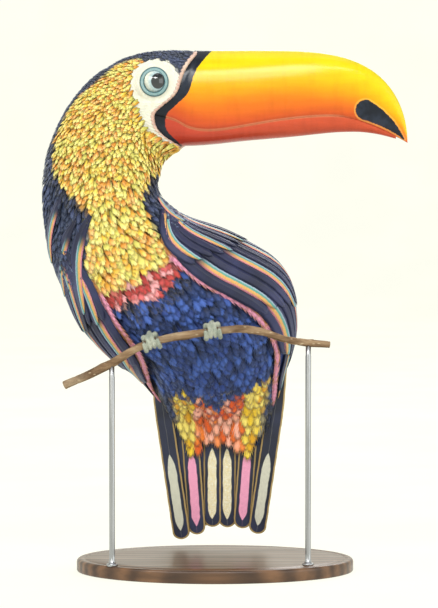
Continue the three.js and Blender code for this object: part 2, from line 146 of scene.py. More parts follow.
def body_frame(t):
    """Centre, front, left and up of the section at t, where 0 is the tail coverts and 1 the crown."""
    t = np.asarray(t, float)
    lean, pitch, facing = (np.radians(f(t)) for f in (body_lean, body_pitch, body_facing))
    up = unit(np.stack([-np.tan(lean), -np.tan(pitch), np.ones_like(t)], -1))
    front = np.stack([np.cos(facing), np.sin(facing), np.zeros_like(t)], -1)
    front = unit(front - up * dot(front, up)[..., None])
    return body_centre(t), front, np.cross(up, front), up


def locate(points):
    """Each point's station, 0 to STATIONS, and its angle in degrees from the body's front to its left."""
    steps = np.linspace(0, 1, 181)
    centre, front, left, up = body_frame(steps)
    t = np.empty(len(points))
    for start in range(0, len(points), 20000):
        rel = points[start : start + 20000, None] - centre[None]
        off = np.abs(dot(rel, up[None]))
        away = np.linalg.norm(rel, axis=-1)
        t[start : start + 20000] = steps[np.argmin(off + 0.12 * away, axis=1)]
    centre, front, left, up = body_frame(t)
    rel = points - centre
    angle = np.degrees(np.arctan2(dot(rel, left) / body_wide(t), dot(rel, front) / body_deep(t)))
    return t * STATIONS, angle


# The line that the plumage follows, from the bill's base over the head and down to the tail's tip.
LIE = np.array(
    [
        (0, -2, 404), (-30, -2, 402), (-58, -2, 396), (-80, -2, 378), (-93, -3, 352),
        (-95, -4, 322), (-84, -3, 290), (-62, 2, 262), (-32, 10, 232), (-6, 22, 202), (3, 36, 165),
        (4, 46, 130), (4, 55, 80), (4, 62, 20),
    ],
    float,
)


def lie_at(points):
    """The direction, not yet on the surface, in which the plumage points. It parts round the bare patch."""
    middles = (LIE[1:] + LIE[:-1]) / 2
    ways = unit(LIE[1:] - LIE[:-1])
    far = np.linalg.norm(points[:, None] - middles[None], axis=-1)
    near = 1 / (far - far.min(axis=1, keepdims=True) + 9) ** 2.2
    way = unit((near[..., None] * ways[None]).sum(axis=1))
    x, _, z = points.T
    depth = face_depth(x, z)
    slope_x = face_depth(x + 0.5, z) - face_depth(x - 0.5, z)
    slope_z = face_depth(x, z + 0.5) - face_depth(x, z - 0.5)
    inward = unit(np.stack([slope_x, 0 * x, slope_z], -1))
    share = smooth(-9.0, -1.5, depth) * smooth(362, 368, z) * smooth(-110, -90, x)
    return unit(way - inward * (share * np.maximum(dot(way, inward), 0))[:, None])


# ---------------------------------------------------------------- the bill's own lines
BILL_TIP = (163, 364.5)
BILL_TOP = 442.5
CULMEN_BEND, CULMEN_POWER = 18, 4.1
BILL_HALF_WIDTH = 22.5
TOMIUM = [
    (-60, 390), (-36, 384.5), (-22, 377.6), (-8, 375.1), (8, 376.1), (28, 379.4), (50, 383.2),
    (75, 386.2), (98, 387.3), (112, 385.8), (126, 381.8), (140, 376), (150, 371.3), (157, 367.8), BILL_TIP,
]
GONYS = [
    (-60, 361), (-30, 361.6), (-5, 362.8), (25, 366), (65, 369.5), (96, 372.8), (112, 373.7),
    (126, 373.4), (140, 371.3), (153, 368),
]
tomium, gonys = profile(TOMIUM), profile(GONYS)
LOWER_TIP = 153
# The line where feathers meet bill: X at each Z.
BASE_LINE_X = [-34, -31, -28.5, -35, -42.5, -48.2, -50.5, -50, -43, -34.5, -30, -28, -25.3, -21.2, -13, -4]
BASE_LINE_Z = [343, 353, 361, 365, 370, 376, 383, 389.5, 396, 403, 410, 417, 424, 431, 441, 455]
base_line = varying(BASE_LINE_X)
BASE_LOW, BASE_HIGH = BASE_LINE_Z[0], BASE_LINE_Z[-1]


def culmen(x):
    bend = np.maximum(0, (x - CULMEN_BEND) / (BILL_TIP[0] - CULMEN_BEND))
    return BILL_TIP[1] + (BILL_TOP - BILL_TIP[1]) * np.sqrt(np.maximum(0, 1 - bend**CULMEN_POWER))


def bill_half_width(x):
    along = np.clip((x + 40) / (BILL_TIP[0] + 40), 0, 1)
    return BILL_HALF_WIDTH * (1 - along**2.1) ** 0.8 * (1 - 0.18 * along) + 0.5


def base_x(z):
    return base_line(np.interp(z, BASE_LINE_Z, np.linspace(0, 1, len(BASE_LINE_Z))))


def behind_base(x, z):
    """How far behind the bill's base a point of the head is, in mm."""
    return base_x(z) - x + 400 * (z < BASE_LOW)


# ---------------------------------------------------------------- the wing's own coordinates
# How far the folded wing stands out from the trunk, and the angles round the trunk of its middle and its
# half-width, from the shoulder (the neck's base) to the tip (the tail coverts' tips).
wing_lift, wing_centre, wing_half = (
    varying(values)
    for values in (
        (1, 2.4, 6.2, 10, 8.6, 5.5, 3, 0.5),
        (-10, -10, -4, 4, 13, 19, 26, 40),
        (5, 44, 54, 54, 48, 38, 26, 14),
    )
)
SHOULDER_STATION = 7


def flank_point(side, s, degrees, reach):
    """A point this far out from the flank: s as for a wing, and degrees from its side to the back."""
    s, degrees = np.broadcast_arrays(np.asarray(s, float), np.asarray(degrees, float))
    t = SHOULDER_STATION * (1 - s) / STATIONS
    centre, front, left, _ = body_frame(t)
    angle = np.radians(degrees)
    out = left * (side * (body_wide(t) + reach) * full(np.cos(angle)))[..., None]
    return centre + out - front * ((body_deep(t) + reach) * full(np.sin(angle)))[..., None]


def wing_point(side, s, v, proud=0.0):
    """A point on a folded wing: s from shoulder to tip, v from the breast's side (-1) to the back's (1)."""
    s, v = np.broadcast_arrays(np.asarray(s, float), np.asarray(v, float))
    reach = wing_lift(s) * (1 - 0.45 * np.minimum(np.abs(v), 1.2) ** 3) + proud
    return flank_point(side, s, wing_centre(s) + wing_half(s) * v, reach)


# ---------------------------------------------------------------- markings
# How far round from the breast's middle the yellow bib reaches, to the right and to the left, by station.
# The turned neck carries it round with it.
bib_edges = table(
    [
        (4.96, 3, 3), (5.06, -11, 17), (5.2, -27, 33), (5.45, -38, 37), (5.8, -42, 35),
        (6.3, -40, 33), (6.7, -36, 29), (7.15, -46, 19), (7.5, -82, 14), (7.8, -112, 26),
        (8.1, -132, 72), (8.5, -145, 132), (9.0, -150, 150),
    ]
)
BAND_TOP = 5.42  # the red band along the bib's lower edge starts here
# The cap's lower edge, seen from the side: Z at each X.
cap_edge = table(
    [
        (-142, 352), (-134.6, 370), (-126, 389), (-116, 403), (-101, 415), (-84, 430), (-69, 435),
        (-63, 435), (-57, 418), (-54, 400), (-24, 396),
    ]
)
FACE_CENTRE, FACE_RADII = (-50.0, 414.8), (20.8, 21.4)
# The bare skin runs down to a point along the gape, and meets the bill's rim all the way up.
FACE_POINT = [(-56.5, 396.0, 8.5), (-52.0, 384.0, 8.0), (-47.5, 373.5, 4.6), (-39.0, 366.5, 1.6)]
FACE_FRONT = [(-40.0, 398.0, 9.0), (-31.0, 412.0, 4.0), (-28.0, 421.0, 1.5)]
TAIL_MIDDLE = 3.4


def chain_depth(x, z, chain):
    """How deep inside a row of discs (x, z, radius), and the straight sides between them, a point lies."""
    deepest = np.full(np.shape(x), -1e3)
    for (ax, az, ar), (bx, bz, br) in zip(chain, chain[1:]):
        dx, dz = bx - ax, bz - az
        along = np.clip(((x - ax) * dx + (z - az) * dz) / (dx * dx + dz * dz), 0, 1)
        away = np.hypot(x - ax - along * dx, z - az - along * dz)
        deepest = np.maximum(deepest, ar + (br - ar) * along - away)
    return deepest


def face_depth(x, z):
    """How far inside the bare patch round the eye a point is, in mm, seen from the side."""
    (cx, cz), (rx, rz) = FACE_CENTRE, FACE_RADII
    disc = (1 - np.hypot((x - cx) / rx, (z - cz) / rz)) * rx
    return np.maximum(disc, np.maximum(chain_depth(x, z, FACE_POINT), chain_depth(x, z, FACE_FRONT)))


def rim_width(z):
    """The width in mm of the fleshy rim that frames the bill's base."""
    return np.interp(z, [355, 364, 390, 420, 442], [1.0, 1.5, 2.0, 2.2, 3.6])


SCALLOP = 1.2  # mm that each lobe of the rim stands out


def scallops(z):
    """0 to 1 along the rim's edge, which is cut into small lobes."""
    return np.abs(np.sin((z - BASE_LOW) * math.pi / 3.0)) ** 0.7


MARKS = ("face", "rim", "bib", "band", "belly", "red", "gold", "rump")


def marks_at(points, grow=0.0):
    """Each marking's strength, 0 to 1, at these points. What has none of them is the dark plumage.

    grow widens the bare patch round the eye by so many mm, but not where the feathers point at it.
    """
    x, _, z = points.T
    station, angle = locate(points)
    behind = behind_base(x, z)
    on_head = (z > 364) & (station > 8.0)
    rim = smooth(0.35, -0.35, behind - rim_width(z) - SCALLOP * scallops(z)) * smooth(358.5, 361.5, z)
    leeward = np.maximum(smooth(-44, -56, x), smooth(408, 398, z))
    face = smooth(-0.4, 0.4, face_depth(x, z) + grow * leeward) * on_head * (1 - rim)
    right, left = bib_edges(station)
    low_bib = np.minimum(angle - right, left - angle)
    high_bib = (cap_edge(x) - z) * 1.2
    inside = np.where(on_head, high_bib, np.where(station > 4.95, low_bib, -9))
    throat = (z > 335) & (z < 368) & (x > -62)
    inside = np.where(throat, np.maximum(inside, 9), inside)
    wing_far = nearest(wing_tree, points, 4.0)[2]
    off_wing = smooth(1.0, 1.8, wing_far)
    bib = smooth(-1.5, 1.5, inside) * (1 - face) * (1 - rim) * np.where(z > 330, 1, off_wing)
    band = bib * smooth(BAND_TOP + 0.06, BAND_TOP - 0.06, station) * (z < 300)
    belly = smooth(90, 82, np.abs(angle)) * smooth(5.9, 5.5, station) * smooth(1.25, 1.5, station) * off_wing
    vent_line = 1.42 + 0.9 * (1 - np.exp(-np.abs(angle) / 34))  # the belly ends in a point
    under = smooth(vent_line + 0.1, vent_line - 0.1, station) * smooth(100, 88, np.abs(angle)) * off_wing
    aside = np.abs(x - TAIL_MIDDLE)
    reach = np.interp(z, [80, 91, 118, 159], [16, 20, 34, 44])
    middle = smooth(22, 20, aside)
    gold = smooth(reach + 1.5, reach - 1.5, aside) * (1 - middle) * smooth(80, 84, z)
    red = middle * smooth(94, 98, z - 0.75 * aside)
    rump = smooth(125, 138, np.abs(angle)) * smooth(3.6, 3.2, station) * smooth(0.9, 1.3, station) * off_wing
    return {
        "face": face,
        "rim": rim,
        "bib": bib * (1 - band),
        "band": band,
        "belly": belly * (1 - bib) * (1 - under),
        "red": under * red,
        "gold": under * gold,
        "rump": rump * (1 - under),
    }


# ---------------------------------------------------------------- meshes
def new_object(name, data):
    """An object of the scene that holds this data."""
    made = bpy.data.objects.new(name, data)
    bpy.context.scene.collection.objects.link(made)
    return made


def make(name, points, faces, attributes=None, uv=None):
    """A piece from points in mm and faces, with float or vector attributes on its points."""
    faces = [np.asarray(f, np.int32) for f in (faces if isinstance(faces, list) else [faces]) if len(f)]
    loops = np.concatenate([f.ravel() for f in faces])
    sizes = np.concatenate([np.full(len(f), f.shape[1], np.int32) for f in faces])
    mesh = bpy.data.meshes.new(name)
    mesh.vertices.add(len(points))
    mesh.vertices.foreach_set("co", (np.asarray(points) * MM).astype(np.float32).ravel())
    mesh.loops.add(len(loops))
    mesh.loops.foreach_set("vertex_index", loops)
    mesh.polygons.add(len(sizes))
    mesh.polygons.foreach_set("loop_start", np.concatenate([[0], np.cumsum(sizes)[:-1]]).astype(np.int32))
    mesh.polygons.foreach_set("loop_total", sizes)
    mesh.polygons.foreach_set("use_smooth", np.ones(len(sizes), bool))
    mesh.update(calc_edges=True)
    set_attributes(mesh, attributes or {})
    if uv is not None:
        layer = mesh.uv_layers.new(name="OFBake")
        layer.data.foreach_set("uv", np.asarray(uv, np.float32)[loops].ravel())
    return new_object(name, mesh)


def set_attributes(mesh, attributes):
    for key, values in attributes.items():
        vector = np.ndim(values) == 2
        kind = "FLOAT_VECTOR" if vector else "FLOAT"
        layer = mesh.attributes.get(key) or mesh.attributes.new(key, kind, "POINT")
        layer.data.foreach_set("vector" if vector else "value", np.asarray(values, np.float32).ravel())


def place(piece, material, slot, *nodes):
    """Gives a piece its material and its body, and hides the CAD nodes it stands for. slot is not used."""
    piece.data.materials.append(material)
    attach(piece, BODY_NAME)
    if nodes:
        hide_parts(*nodes)
    return piece


def mesh_arrays(mesh):
    """A mesh's points in mm, its point normals and its triangles."""
    co = np.empty(len(mesh.vertices) * 3, np.float32)
    mesh.vertices.foreach_get("co", co)
    normals = np.empty(len(mesh.vertices) * 3, np.float32)
    mesh.vertices.foreach_get("normal", normals)
    mesh.calc_loop_triangles()
    tri = np.empty(len(mesh.loop_triangles) * 3, np.int32)
    mesh.loop_triangles.foreach_get("vertices", tri)
    return co.reshape(-1, 3).astype(float) / MM, normals.reshape(-1, 3).astype(float), tri.reshape(-1, 3)


def joined(*solids):
    """The points and triangles of several (points, triangles) pairs together."""
    counts = np.cumsum([0] + [len(p) for p, _ in solids])
    triangles = np.concatenate([t + n for (_, t), n in zip(solids, counts)])
    return np.concatenate([p for p, _ in solids]), triangles


def node_arrays(*nodes):
    """The points, in mm, and triangles of these CAD nodes together."""
    return joined(*((a[0], a[2]) for a in (mesh_arrays(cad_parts[node].data) for node in nodes)))


def tree_of(points, triangles):
    return BVHTree.FromPolygons(points.tolist(), triangles.tolist(), all_triangles=True)


def nearest(tree, points, reach=60.0):
    """The nearest place on a surface to each point, its outward normal, and how far it is, row by row."""
    places, normals = points.copy(), np.tile([0.0, 0.0, 1.0], (len(points), 1))
    far = np.full(len(points), reach)
    for i, p in enumerate(points.tolist()):
        found, normal, _, distance = tree.find_nearest(p, reach)
        if found is not None:
            places[i], normals[i], far[i] = found, normal, distance
    return places, normals, far


def shell(rings, close=True):
    """Points and triangles of a tube through equal rings of points, its two ends shut by fans."""
    rings = np.asarray(rings, float)
    count, sides = rings.shape[:2]
    points = np.concatenate([rings.reshape(-1, 3), rings[:1].mean(axis=1), rings[-1:].mean(axis=1)])
    i, k = np.meshgrid(np.arange(count - 1), np.arange(sides), indexing="ij")
    a, b = i * sides + k, i * sides + (k + 1) % sides
    quads = np.stack([a, b, b + sides, a + sides], -1).reshape(-1, 4)
    faces = [quads[:, [0, 1, 2]], quads[:, [0, 2, 3]]]
    k = np.arange(sides)
    first, last = count * sides, count * sides + 1
    if close:
        faces.append(np.stack([np.full(sides, first), (k + 1) % sides, k], -1))
        end = (count - 1) * sides
        faces.append(np.stack([np.full(sides, last), end + k, end + (k + 1) % sides], -1))
    return points, np.concatenate(faces)


def lathe(outline, sides, x=0.0, y=0.0):
    """Rings round the vertical axis at x, y, through an outline of (radius, height)."""
    turns = circle(sides)
    return np.array([[(x + r * math.cos(a), y + r * math.sin(a), z) for a in turns] for r, z in outline])


def along_path(points, count):
    """A smooth path through points: count places, and at each its direction."""
    curve = varying(points)
    steps = np.linspace(0, 1, count)
    places = curve(steps)
    return places, unit(np.gradient(places, axis=0))


def tube(points, radii, rings, sides, flat=1.0, ripple=None, across=(1.0, 0.0, 0.0)):
    """A round limb through points. across is about its width's direction, flat its height over its width."""
    places, ways = along_path(points, rings)
    radius = varying(radii)(np.linspace(0, 1, rings))
    wide = unit(np.array(across, float) - ways * dot(ways, np.array(across, float))[:, None])
    high = np.cross(ways, wide)
    angle = circle(sides)
    reach = radius[:, None] * np.ones((rings, sides))
    if ripple is not None:
        reach = reach * ripple(np.linspace(0, 1, rings)[:, None], angle[None])
    out = wide[:, None] * (reach * np.cos(angle))[..., None]
    out = out + high[:, None] * (flat * reach * np.sin(angle))[..., None]
    return shell(places[:, None] + out)


def melted(name, solids, voxel, rounds):
    """One closed surface round overlapping solids, evened out: points, normals and triangles."""
    rough = make(name, *joined(*solids))
    remesh = rough.modifiers.new("one", "REMESH")
    remesh.mode = "VOXEL"
    remesh.voxel_size = voxel * MM
    relax = rough.modifiers.new("relax", "SMOOTH")
    relax.factor = 0.5
    relax.iterations = rounds
    rough.modifiers.new("tri", "TRIANGULATE")
    evaluated = rough.evaluated_get(bpy.context.evaluated_depsgraph_get())
    mesh = bpy.data.meshes.new_from_object(evaluated)
    arrays = mesh_arrays(mesh)
    bpy.data.objects.remove(rough)
    bpy.data.meshes.remove(mesh)
    return arrays


# ---------------------------------------------------------------- materials
class Nodes:
    """Short ways of adding nodes to a tree. A value that isn't a socket is set on the input itself."""

    def __init__(self, tree):
        self.tree = tree

    def add(self, kind, inputs=None, out=0, **props):
        node = self.tree.nodes.new("ShaderNode" + kind)
        for key, value in props.items():
            setattr(node, key, value)
        for key, value in (inputs or {}).items():
            self.feed(value, node.inputs[key])
        return node.outputs[out]

    def feed(self, value, socket):
        if isinstance(value, bpy.types.NodeSocket):
            self.tree.links.new(value, socket)
        else:
            socket.default_value = value

    def attribute(self, name, out="Fac"):
        return self.add("Attribute", attribute_name=name, out=out)

    def axes(self, vector):
        parts = self.add("SeparateXYZ", {0: vector})
        return [parts.node.outputs[i] for i in range(3)]

    def math(self, operation, a, b=0.0):
        return self.add("Math", {0: a, 1: b}, operation=operation)

    def mul(self, a, b):
        return self.math("MULTIPLY", a, b)

    def plus(self, a, b):
        return self.math("ADD", a, b)

    def minus(self, a, b):
        return self.math("SUBTRACT", a, b)

    def absolute(self, a):
        return self.math("ABSOLUTE", a)

    def distance(self, a, b):
        """How long a and b are together, at right angles."""
        squares = [self.math("POWER", self.absolute(value), 2.0) for value in (a, b)]
        return self.math("SQRT", self.plus(*squares))

    def feather(self):
        """Along a feather, 0 to 1, across it, -1 to 1, and a number of the feather's own, 0 to 1."""
        return self.axes(self.attribute("feather", out="Vector"))

    def place(self):
        return self.add("TexCoord", out="Object")

    def noise(self, scale, detail=3.0, vector=None, distortion=0.0):
        inputs = {"Scale": scale, "Detail": detail, "Roughness": 0.55, "Distortion": distortion}
        return self.add("TexNoise", {"Vector": vector or self.place(), **inputs})

    def stretched(self, x, y, z, vector=None):
        return self.add("Mapping", {"Vector": vector or self.place(), "Scale": (x, y, z)})

    def ramp(self, value, *stops):
        out = self.add("ValToRGB", {0: value})
        ramp = out.node.color_ramp
        while len(ramp.elements) < len(stops):
            ramp.elements.new(0.5)
        for element, (at, colour) in zip(ramp.elements, stops):
            element.position = at
            element.color = (*colour, 1)
        return out

    def mix(self, share, a, b, blend="MIX"):
        node = self.tree.nodes.new("ShaderNodeMix")
        node.data_type = "RGBA"
        node.blend_type = blend
        self.feed(share, node.inputs[0])
        for value, socket in ((a, node.inputs[6]), (b, node.inputs[7])):
            self.feed((*value, 1) if isinstance(value, tuple) else value, socket)
        return node.outputs[2]

    def times(self, colour, value):
        """A colour made lighter or darker by a number."""
        return self.mix(1.0, colour, self.add("CombineColor", {0: value, 1: value, 2: value}), "MULTIPLY")

    def between(self, value, low, high, to_low=0.0, to_high=1.0):
        inputs = {0: value, 1: low, 2: high, 3: to_low, 4: to_high}
        return self.add("MapRange", inputs, interpolation_type="SMOOTHSTEP")

    def bump(self, height, distance, strength):
        return self.add("Bump", {"Height": height, "Distance": distance, "Strength": strength})


def material(name, **settings):
    """A new material, its nodes and its shader, with these sockets of the shader set."""
    made = bpy.data.materials.new(name)
    made.use_nodes = True
    shader = made.node_tree.nodes["Principled BSDF"]
    for key, value in settings.items():
        socket = shader.inputs[key.replace("_", " ").title().replace("Ior", "IOR")]
        socket.default_value = (*value, 1) if key.endswith(("tint", "color")) else value
    return made, Nodes(made.node_tree), shader


def dress(n, shader, colour, roughness, height=None, distance=0.0, strength=0.5):
    """Joins a material's colour and roughness, and the height of its relief, to its shader."""
    n.feed(colour, shader.inputs["Base Color"])
    n.feed(roughness, shader.inputs["Roughness"])
    if height is not None:
        n.feed(n.bump(height, distance, strength), shader.inputs["Normal"])


# The colours that each kind of feather varies between, and the painted highlight on the rims of some.
PLUMAGE = {
    "dark": ((0.0, (0.009, 0.012, 0.024)), (0.6, (0.020, 0.028, 0.062)), (1.0, (0.042, 0.056, 0.130))),
    "belly": (
        (0.0, (0.011, 0.015, 0.036)),
        (0.35, (0.014, 0.025, 0.095)),
        (0.75, (0.022, 0.048, 0.22)),
        (1.0, (0.05, 0.11, 0.40)),
    ),
    "bib": (
        (0.0, (0.76, 0.30, 0.04)),
        (0.22, (0.87, 0.50, 0.05)),
        (0.5, (0.91, 0.66, 0.07)),
        (0.75, (0.92, 0.78, 0.20)),
        (1.0, (0.70, 0.66, 0.14)),
    ),
    "band": ((0.0, (0.45, 0.05, 0.05)), (0.5, (0.75, 0.15, 0.16)), (1.0, (0.88, 0.42, 0.45))),
    "red": ((0.0, (0.72, 0.11, 0.02)), (0.6, (0.90, 0.25, 0.04)), (1.0, (0.94, 0.47, 0.36))),
    "gold": ((0.0, (0.70, 0.36, 0.02)), (0.6, (0.85, 0.60, 0.04)), (1.0, (0.90, 0.74, 0.18))),
    "rump": ((0.0, (0.62, 0.58, 0.50)), (1.0, (0.88, 0.86, 0.80))),
}
# Painted highlight: the share and colour of the paler edges and tips of dark and belly feathers.
RIM_HIGHLIGHTS = {"dark": (0.4, (0.10, 0.13, 0.23)), "belly": (0.45, (0.06, 0.12, 0.40))}


def plumage_colour(n):
    """The colour of skin or coat from its markings, which every plumage material shares."""
    along, across, chance = n.feather()
    blotch = n.noise(38, 3)
    fleck = n.noise(240, 2)
    mood = n.plus(n.mul(chance, 0.55), n.mul(blotch, 0.45))
    spread = n.between(mood, 0.28, 0.72)
    edge = n.between(n.absolute(across), 0.45, 1.0)
    tip = n.between(along, 0.45, 1.0)
    # The mask of the painted highlight along each feather's edges and tip.
    rim = n.math("MAXIMUM", n.mul(edge, 0.7), n.mul(tip, 0.85))

    tints = {mark: n.ramp(spread, *stops) for mark, stops in PLUMAGE.items()}
    for mark, (share, pale) in RIM_HIGHLIGHTS.items():
        tints[mark] = n.mix(n.mul(rim, share), tints[mark], pale)
    tints["bib"] = n.mix(n.mul(tip, 0.5), tints["bib"], (0.96, 0.86, 0.42))
    tints["face"] = n.mix(n.between(fleck, 0.35, 0.75), (0.66, 0.65, 0.55), (0.70, 0.70, 0.61))
    tints["rim"] = n.mix(n.between(blotch, 0.35, 0.65), (0.58, 0.38, 0.31), (0.68, 0.52, 0.42))

    colour = tints["dark"]
    for mark in ("belly", "rump", "red", "gold", "bib", "band", "face", "rim"):
        colour = n.mix(n.attribute(mark), colour, tints[mark])
    return colour, along, across, chance


def barbs(n, along, across, chance, angle=5.0, count=17.0):
    """-1 to 1 across fine ridges that slant out from a feather's shaft."""
    slant = n.minus(n.mul(along, count), n.mul(n.absolute(across), angle))
    return n.math("SINE", n.mul(n.plus(slant, n.mul(chance, 9.0)), 6.283))


def barbed(n, colour, ridge, streak, share, low, high):
    """A vane's colour, lighter and darker along its barbs and fine streaks."""
    grain = n.plus(n.mul(ridge, share), streak)
    return n.times(colour, n.between(grain, 0.1, 1.0, low, high))


def plumage(name, roughness, **settings):
    """Vanes coloured by their markings, with painted shade towards the root, and barbs as fine slanting
    ridges.
    """
    made, n, shader = material(name, sheen_roughness=0.45, **settings)
    colour, along, across, chance = plumage_colour(n)
    ridge = barbs(n, along, across, chance)
    streak = n.noise(620, 2)
    # Painted shade: each feather is darker towards its root, where its neighbours overlap it.
    colour = n.times(colour, n.between(along, 0.0, 0.75, 0.58, 1.12))
    colour = barbed(n, colour, ridge, streak, 0.25, 0.84, 1.16)
    worn = n.between(streak, 0.2, 0.8, roughness - 0.07, roughness + 0.1)
    dress(n, shader, colour, worn, ridge, 0.00008)
    return made


def skin_material():
    """Bare skin under the coat and round the eye, with the coat's markings, a blue ring round the eye edged
    with painted shade, and painted shade in its creases.
    """
    made, n, shader = material(
        "skin", subsurface_weight=0.08, subsurface_radius=(0.004, 0.002, 0.001), subsurface_scale=0.5
    )
    colour, *_ = plumage_colour(n)
    out = n.attribute("eye_ring")  # mm from the eye's middle
    ringed = n.mix(n.noise(320, 3), (0.13, 0.27, 0.29), (0.30, 0.42, 0.42))
    # Painted shade: thin dark lines at the lid ring's inner and outer margins, where the raised ring meets
    # the eye and the cheek.
    line = (0.035, 0.11, 0.13)
    inner = n.between(out, LID["inner"] + 0.2, LID["inner"] + 0.9)
    outer = n.between(out, LID["outer"] - 0.5, LID["outer"] + 0.1)
    after = n.between(out, LID["outer"] + 0.5, LID["outer"] + 1.1)
    lid = n.mix(inner, line, ringed)
    lid = n.mix(outer, lid, line)
    colour = n.mix(after, lid, colour)
    creases = n.noise(300, 4, distortion=0.6)
    pores = n.add("TexVoronoi", {"Vector": n.place(), "Scale": 900.0}, feature="F1")
    # Painted shade: the skin is darker where the creases' relief is low.
    colour = n.times(colour, n.between(creases, 0.3, 0.6, 0.93, 1.0))
    relief = n.plus(n.mul(pores, 0.5), creases)
    dress(n, shader, colour, n.between(creases, 0.2, 0.8, 0.40, 0.60), relief, 0.0004, 0.6)
    return made


SKIN_GROW = 2.2  # mm by which the skin's pale patch runs on under the first feathers
LID = {"inner": 8.7, "outer": 11.4, "high": 1.6}
SKIN = skin_material()
DARK_COAT = plumage(
    "plumage_glossy", 0.40, sheen_weight=0.22, sheen_tint=(0.35, 0.5, 1.0), specular_ior_level=0.30
)
CAP_COAT = plumage(
    "plumage_cap", 0.30, sheen_weight=0.25, sheen_tint=(0.5, 0.65, 1.0), specular_ior_level=0.75
)
SOFT_COAT = plumage(
    "plumage_soft", 0.72, sheen_weight=0.28, sheen_tint=(1.0, 0.92, 0.7), specular_ior_level=0.25
)


# ---------------------------------------------------------------- the skin
BODY_NODES = ("head", "neck", "trunk", "tail_coverts", "thigh_left", "thigh_right")
FLESH = (*BODY_NODES, "wing_left", "wing_right")
SKIN_VOXEL = 1.9  # mm
NO_EYE = 99.0  # the distance in mm that is given where no eye is near
THROAT = [
    (-72, -2, 325), (-57, -2, 337), (-48, -2, 348.5),
    (-37, -2, 358), (-26, -2, 362.6), (-17.5, -2, 363.6),
]
THROAT_RADII = [22, 20, 8.0, 5.9, 3.2, 1.4]


WING_DEPTH = 11.0  # mm that a wing's mass reaches into the trunk


def wing_solid(side):
    """A folded wing's mass, from its outer surface to well inside the trunk."""
    s = np.linspace(0, 1, 60)[:, None]
    v = np.linspace(-1, 1, 25)[None]
    outside = wing_point(side, s, v)
    inside = wing_point(side, s, 0.96 * v, -WING_DEPTH)
    return shell(np.concatenate([outside, inside[:, ::-1]], axis=1))


wings = [wing_solid(side) for side in SIDES.values()]
wing_tree = tree_of(*joined(*wings))
eye_box = {side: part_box(f"eye_{side}") for side in SIDES}
EYE_AT = {side: np.array((box[0] + box[1]) / 2) / MM for side, box in eye_box.items()}
EYE_RADIUS = (eye_box["left"][1].z - eye_box["left"][0].z) / 2 / MM


def relaxed(values, triangles, rounds):
    """Values on points, evened out with their neighbours."""
    edges = np.concatenate([triangles[:, [0, 1]], triangles[:, [1, 2]], triangles[:, [2, 0]]])
    edges = np.concatenate([edges, edges[:, ::-1]])
    count = np.bincount(edges[:, 0], minlength=len(values))
    for _ in range(rounds):
        total = np.bincount(edges[:, 0], weights=values[edges[:, 1]], minlength=len(values))
        values = 0.5 * values + 0.5 * total / count
    return values


def coat_depth(points, marks):
    """How far the coat's tips stand from the skin, in mm: least on the face, most on the belly."""
    x, _, z = points.T
    depth = np.interp(z, [100, 150, 200, 300, 350, 390, 440], [1.8, 3.0, 4.6, 4.2, 3.4, 2.4, 1.6])
    on_wing = nearest(wing_tree, points, 4.0)[2] < 1.6
    depth = np.where(on_wing, np.minimum(depth, 2.6), depth)
    depth = depth * (1 - 0.8 * smooth(14, 3, behind_base(x, z)) * (z > 340))
    bare = np.maximum(marks["face"], marks["rim"])
    return depth * (1 - bare) + 0.3 * bare, on_wing


throat = tube(THROAT, THROAT_RADII, 12, 20, across=(0, 1, 0), flat=0.6)
outer, outer_normals, outer_triangles = melted(
    "outer", [node_arrays(*BODY_NODES, "eye_left", "eye_right"), throat, *wings], SKIN_VOXEL, 9
)
outer_tree = tree_of(outer, outer_triangles)
outer_marks = marks_at(outer)
outer_depth, outer_on_wing = coat_depth(outer, outer_marks)
inward = zip((outer - outer_normals * 0.05).tolist(), (-outer_normals).tolist())
thickness = np.array([outer_tree.ray_cast(p, n, 60.0)[3] or 60.0 for p, n in inward])
outer_depth = relaxed(np.minimum(outer_depth, 0.36 * thickness), outer_triangles, 6)


def make_skin():
    points = outer - outer_normals * outer_depth[:, None]
    flat = np.tile([0.35, 0.0, 0.5], (len(points), 1))
    ring = np.full(len(points), NO_EYE)
    marks = marks_at(outer, SKIN_GROW)
    skin = make("skin", points, outer_triangles, {**marks, "feather": flat, "eye_ring": ring})
    return place(skin, SKIN, "belly_plumage", *FLESH)


def unwrap(piece):
    """Lays the skin out flat by its own shape, and gives each triangle's corners in that layout."""
    bpy.context.view_layer.objects.active = piece
    piece.select_set(True)
    piece.data.uv_layers.new(name="OFBake")
    bpy.ops.object.mode_set(mode="EDIT")
    bpy.ops.mesh.select_all(action="SELECT")
    bpy.ops.uv.smart_project(angle_limit=math.radians(66), island_margin=0.004, scale_to_bounds=False)
    bpy.ops.object.mode_set(mode="OBJECT")
    piece.select_set(False)
    uv = np.empty(len(piece.data.loops) * 2, np.float32)
    piece.data.uv_layers["OFBake"].data.foreach_get("uv", uv)
    return uv.reshape(-1, 3, 2)


def eye_distance(points):
    """How far each point is from the middle of the eye on its own side, seen from that side."""
    eye = EYE_AT["left"]
    oval = 0.97  # the ring is a little taller than it is long
    return np.hypot(points[:, 0] - eye[0], (points[:, 2] - eye[2]) * oval)


def cheek_surface(side):
    """The cheek's own Y near the eye as a smooth function of X and Z, as if there were no eye in it."""
    eye = EYE_AT[side]
    away = eye_distance(outer)
    ring = (away > 14.5) & (away < 21) & ((outer[:, 1] - HEAD_Y) * SIDES[side] > 14) & (outer[:, 2] < 434)

    def terms(x, z):
        u, w = (x - eye[0]) / 20, (z - eye[2]) / 20
        return np.stack([np.ones_like(u), u, w, u * u, u * w, w * w], -1)

    fit, *_ = np.linalg.lstsq(terms(outer[ring, 0], outer[ring, 2]), outer[ring, 1], rcond=None)
    return lambda x, z: terms(x, z) @ fit


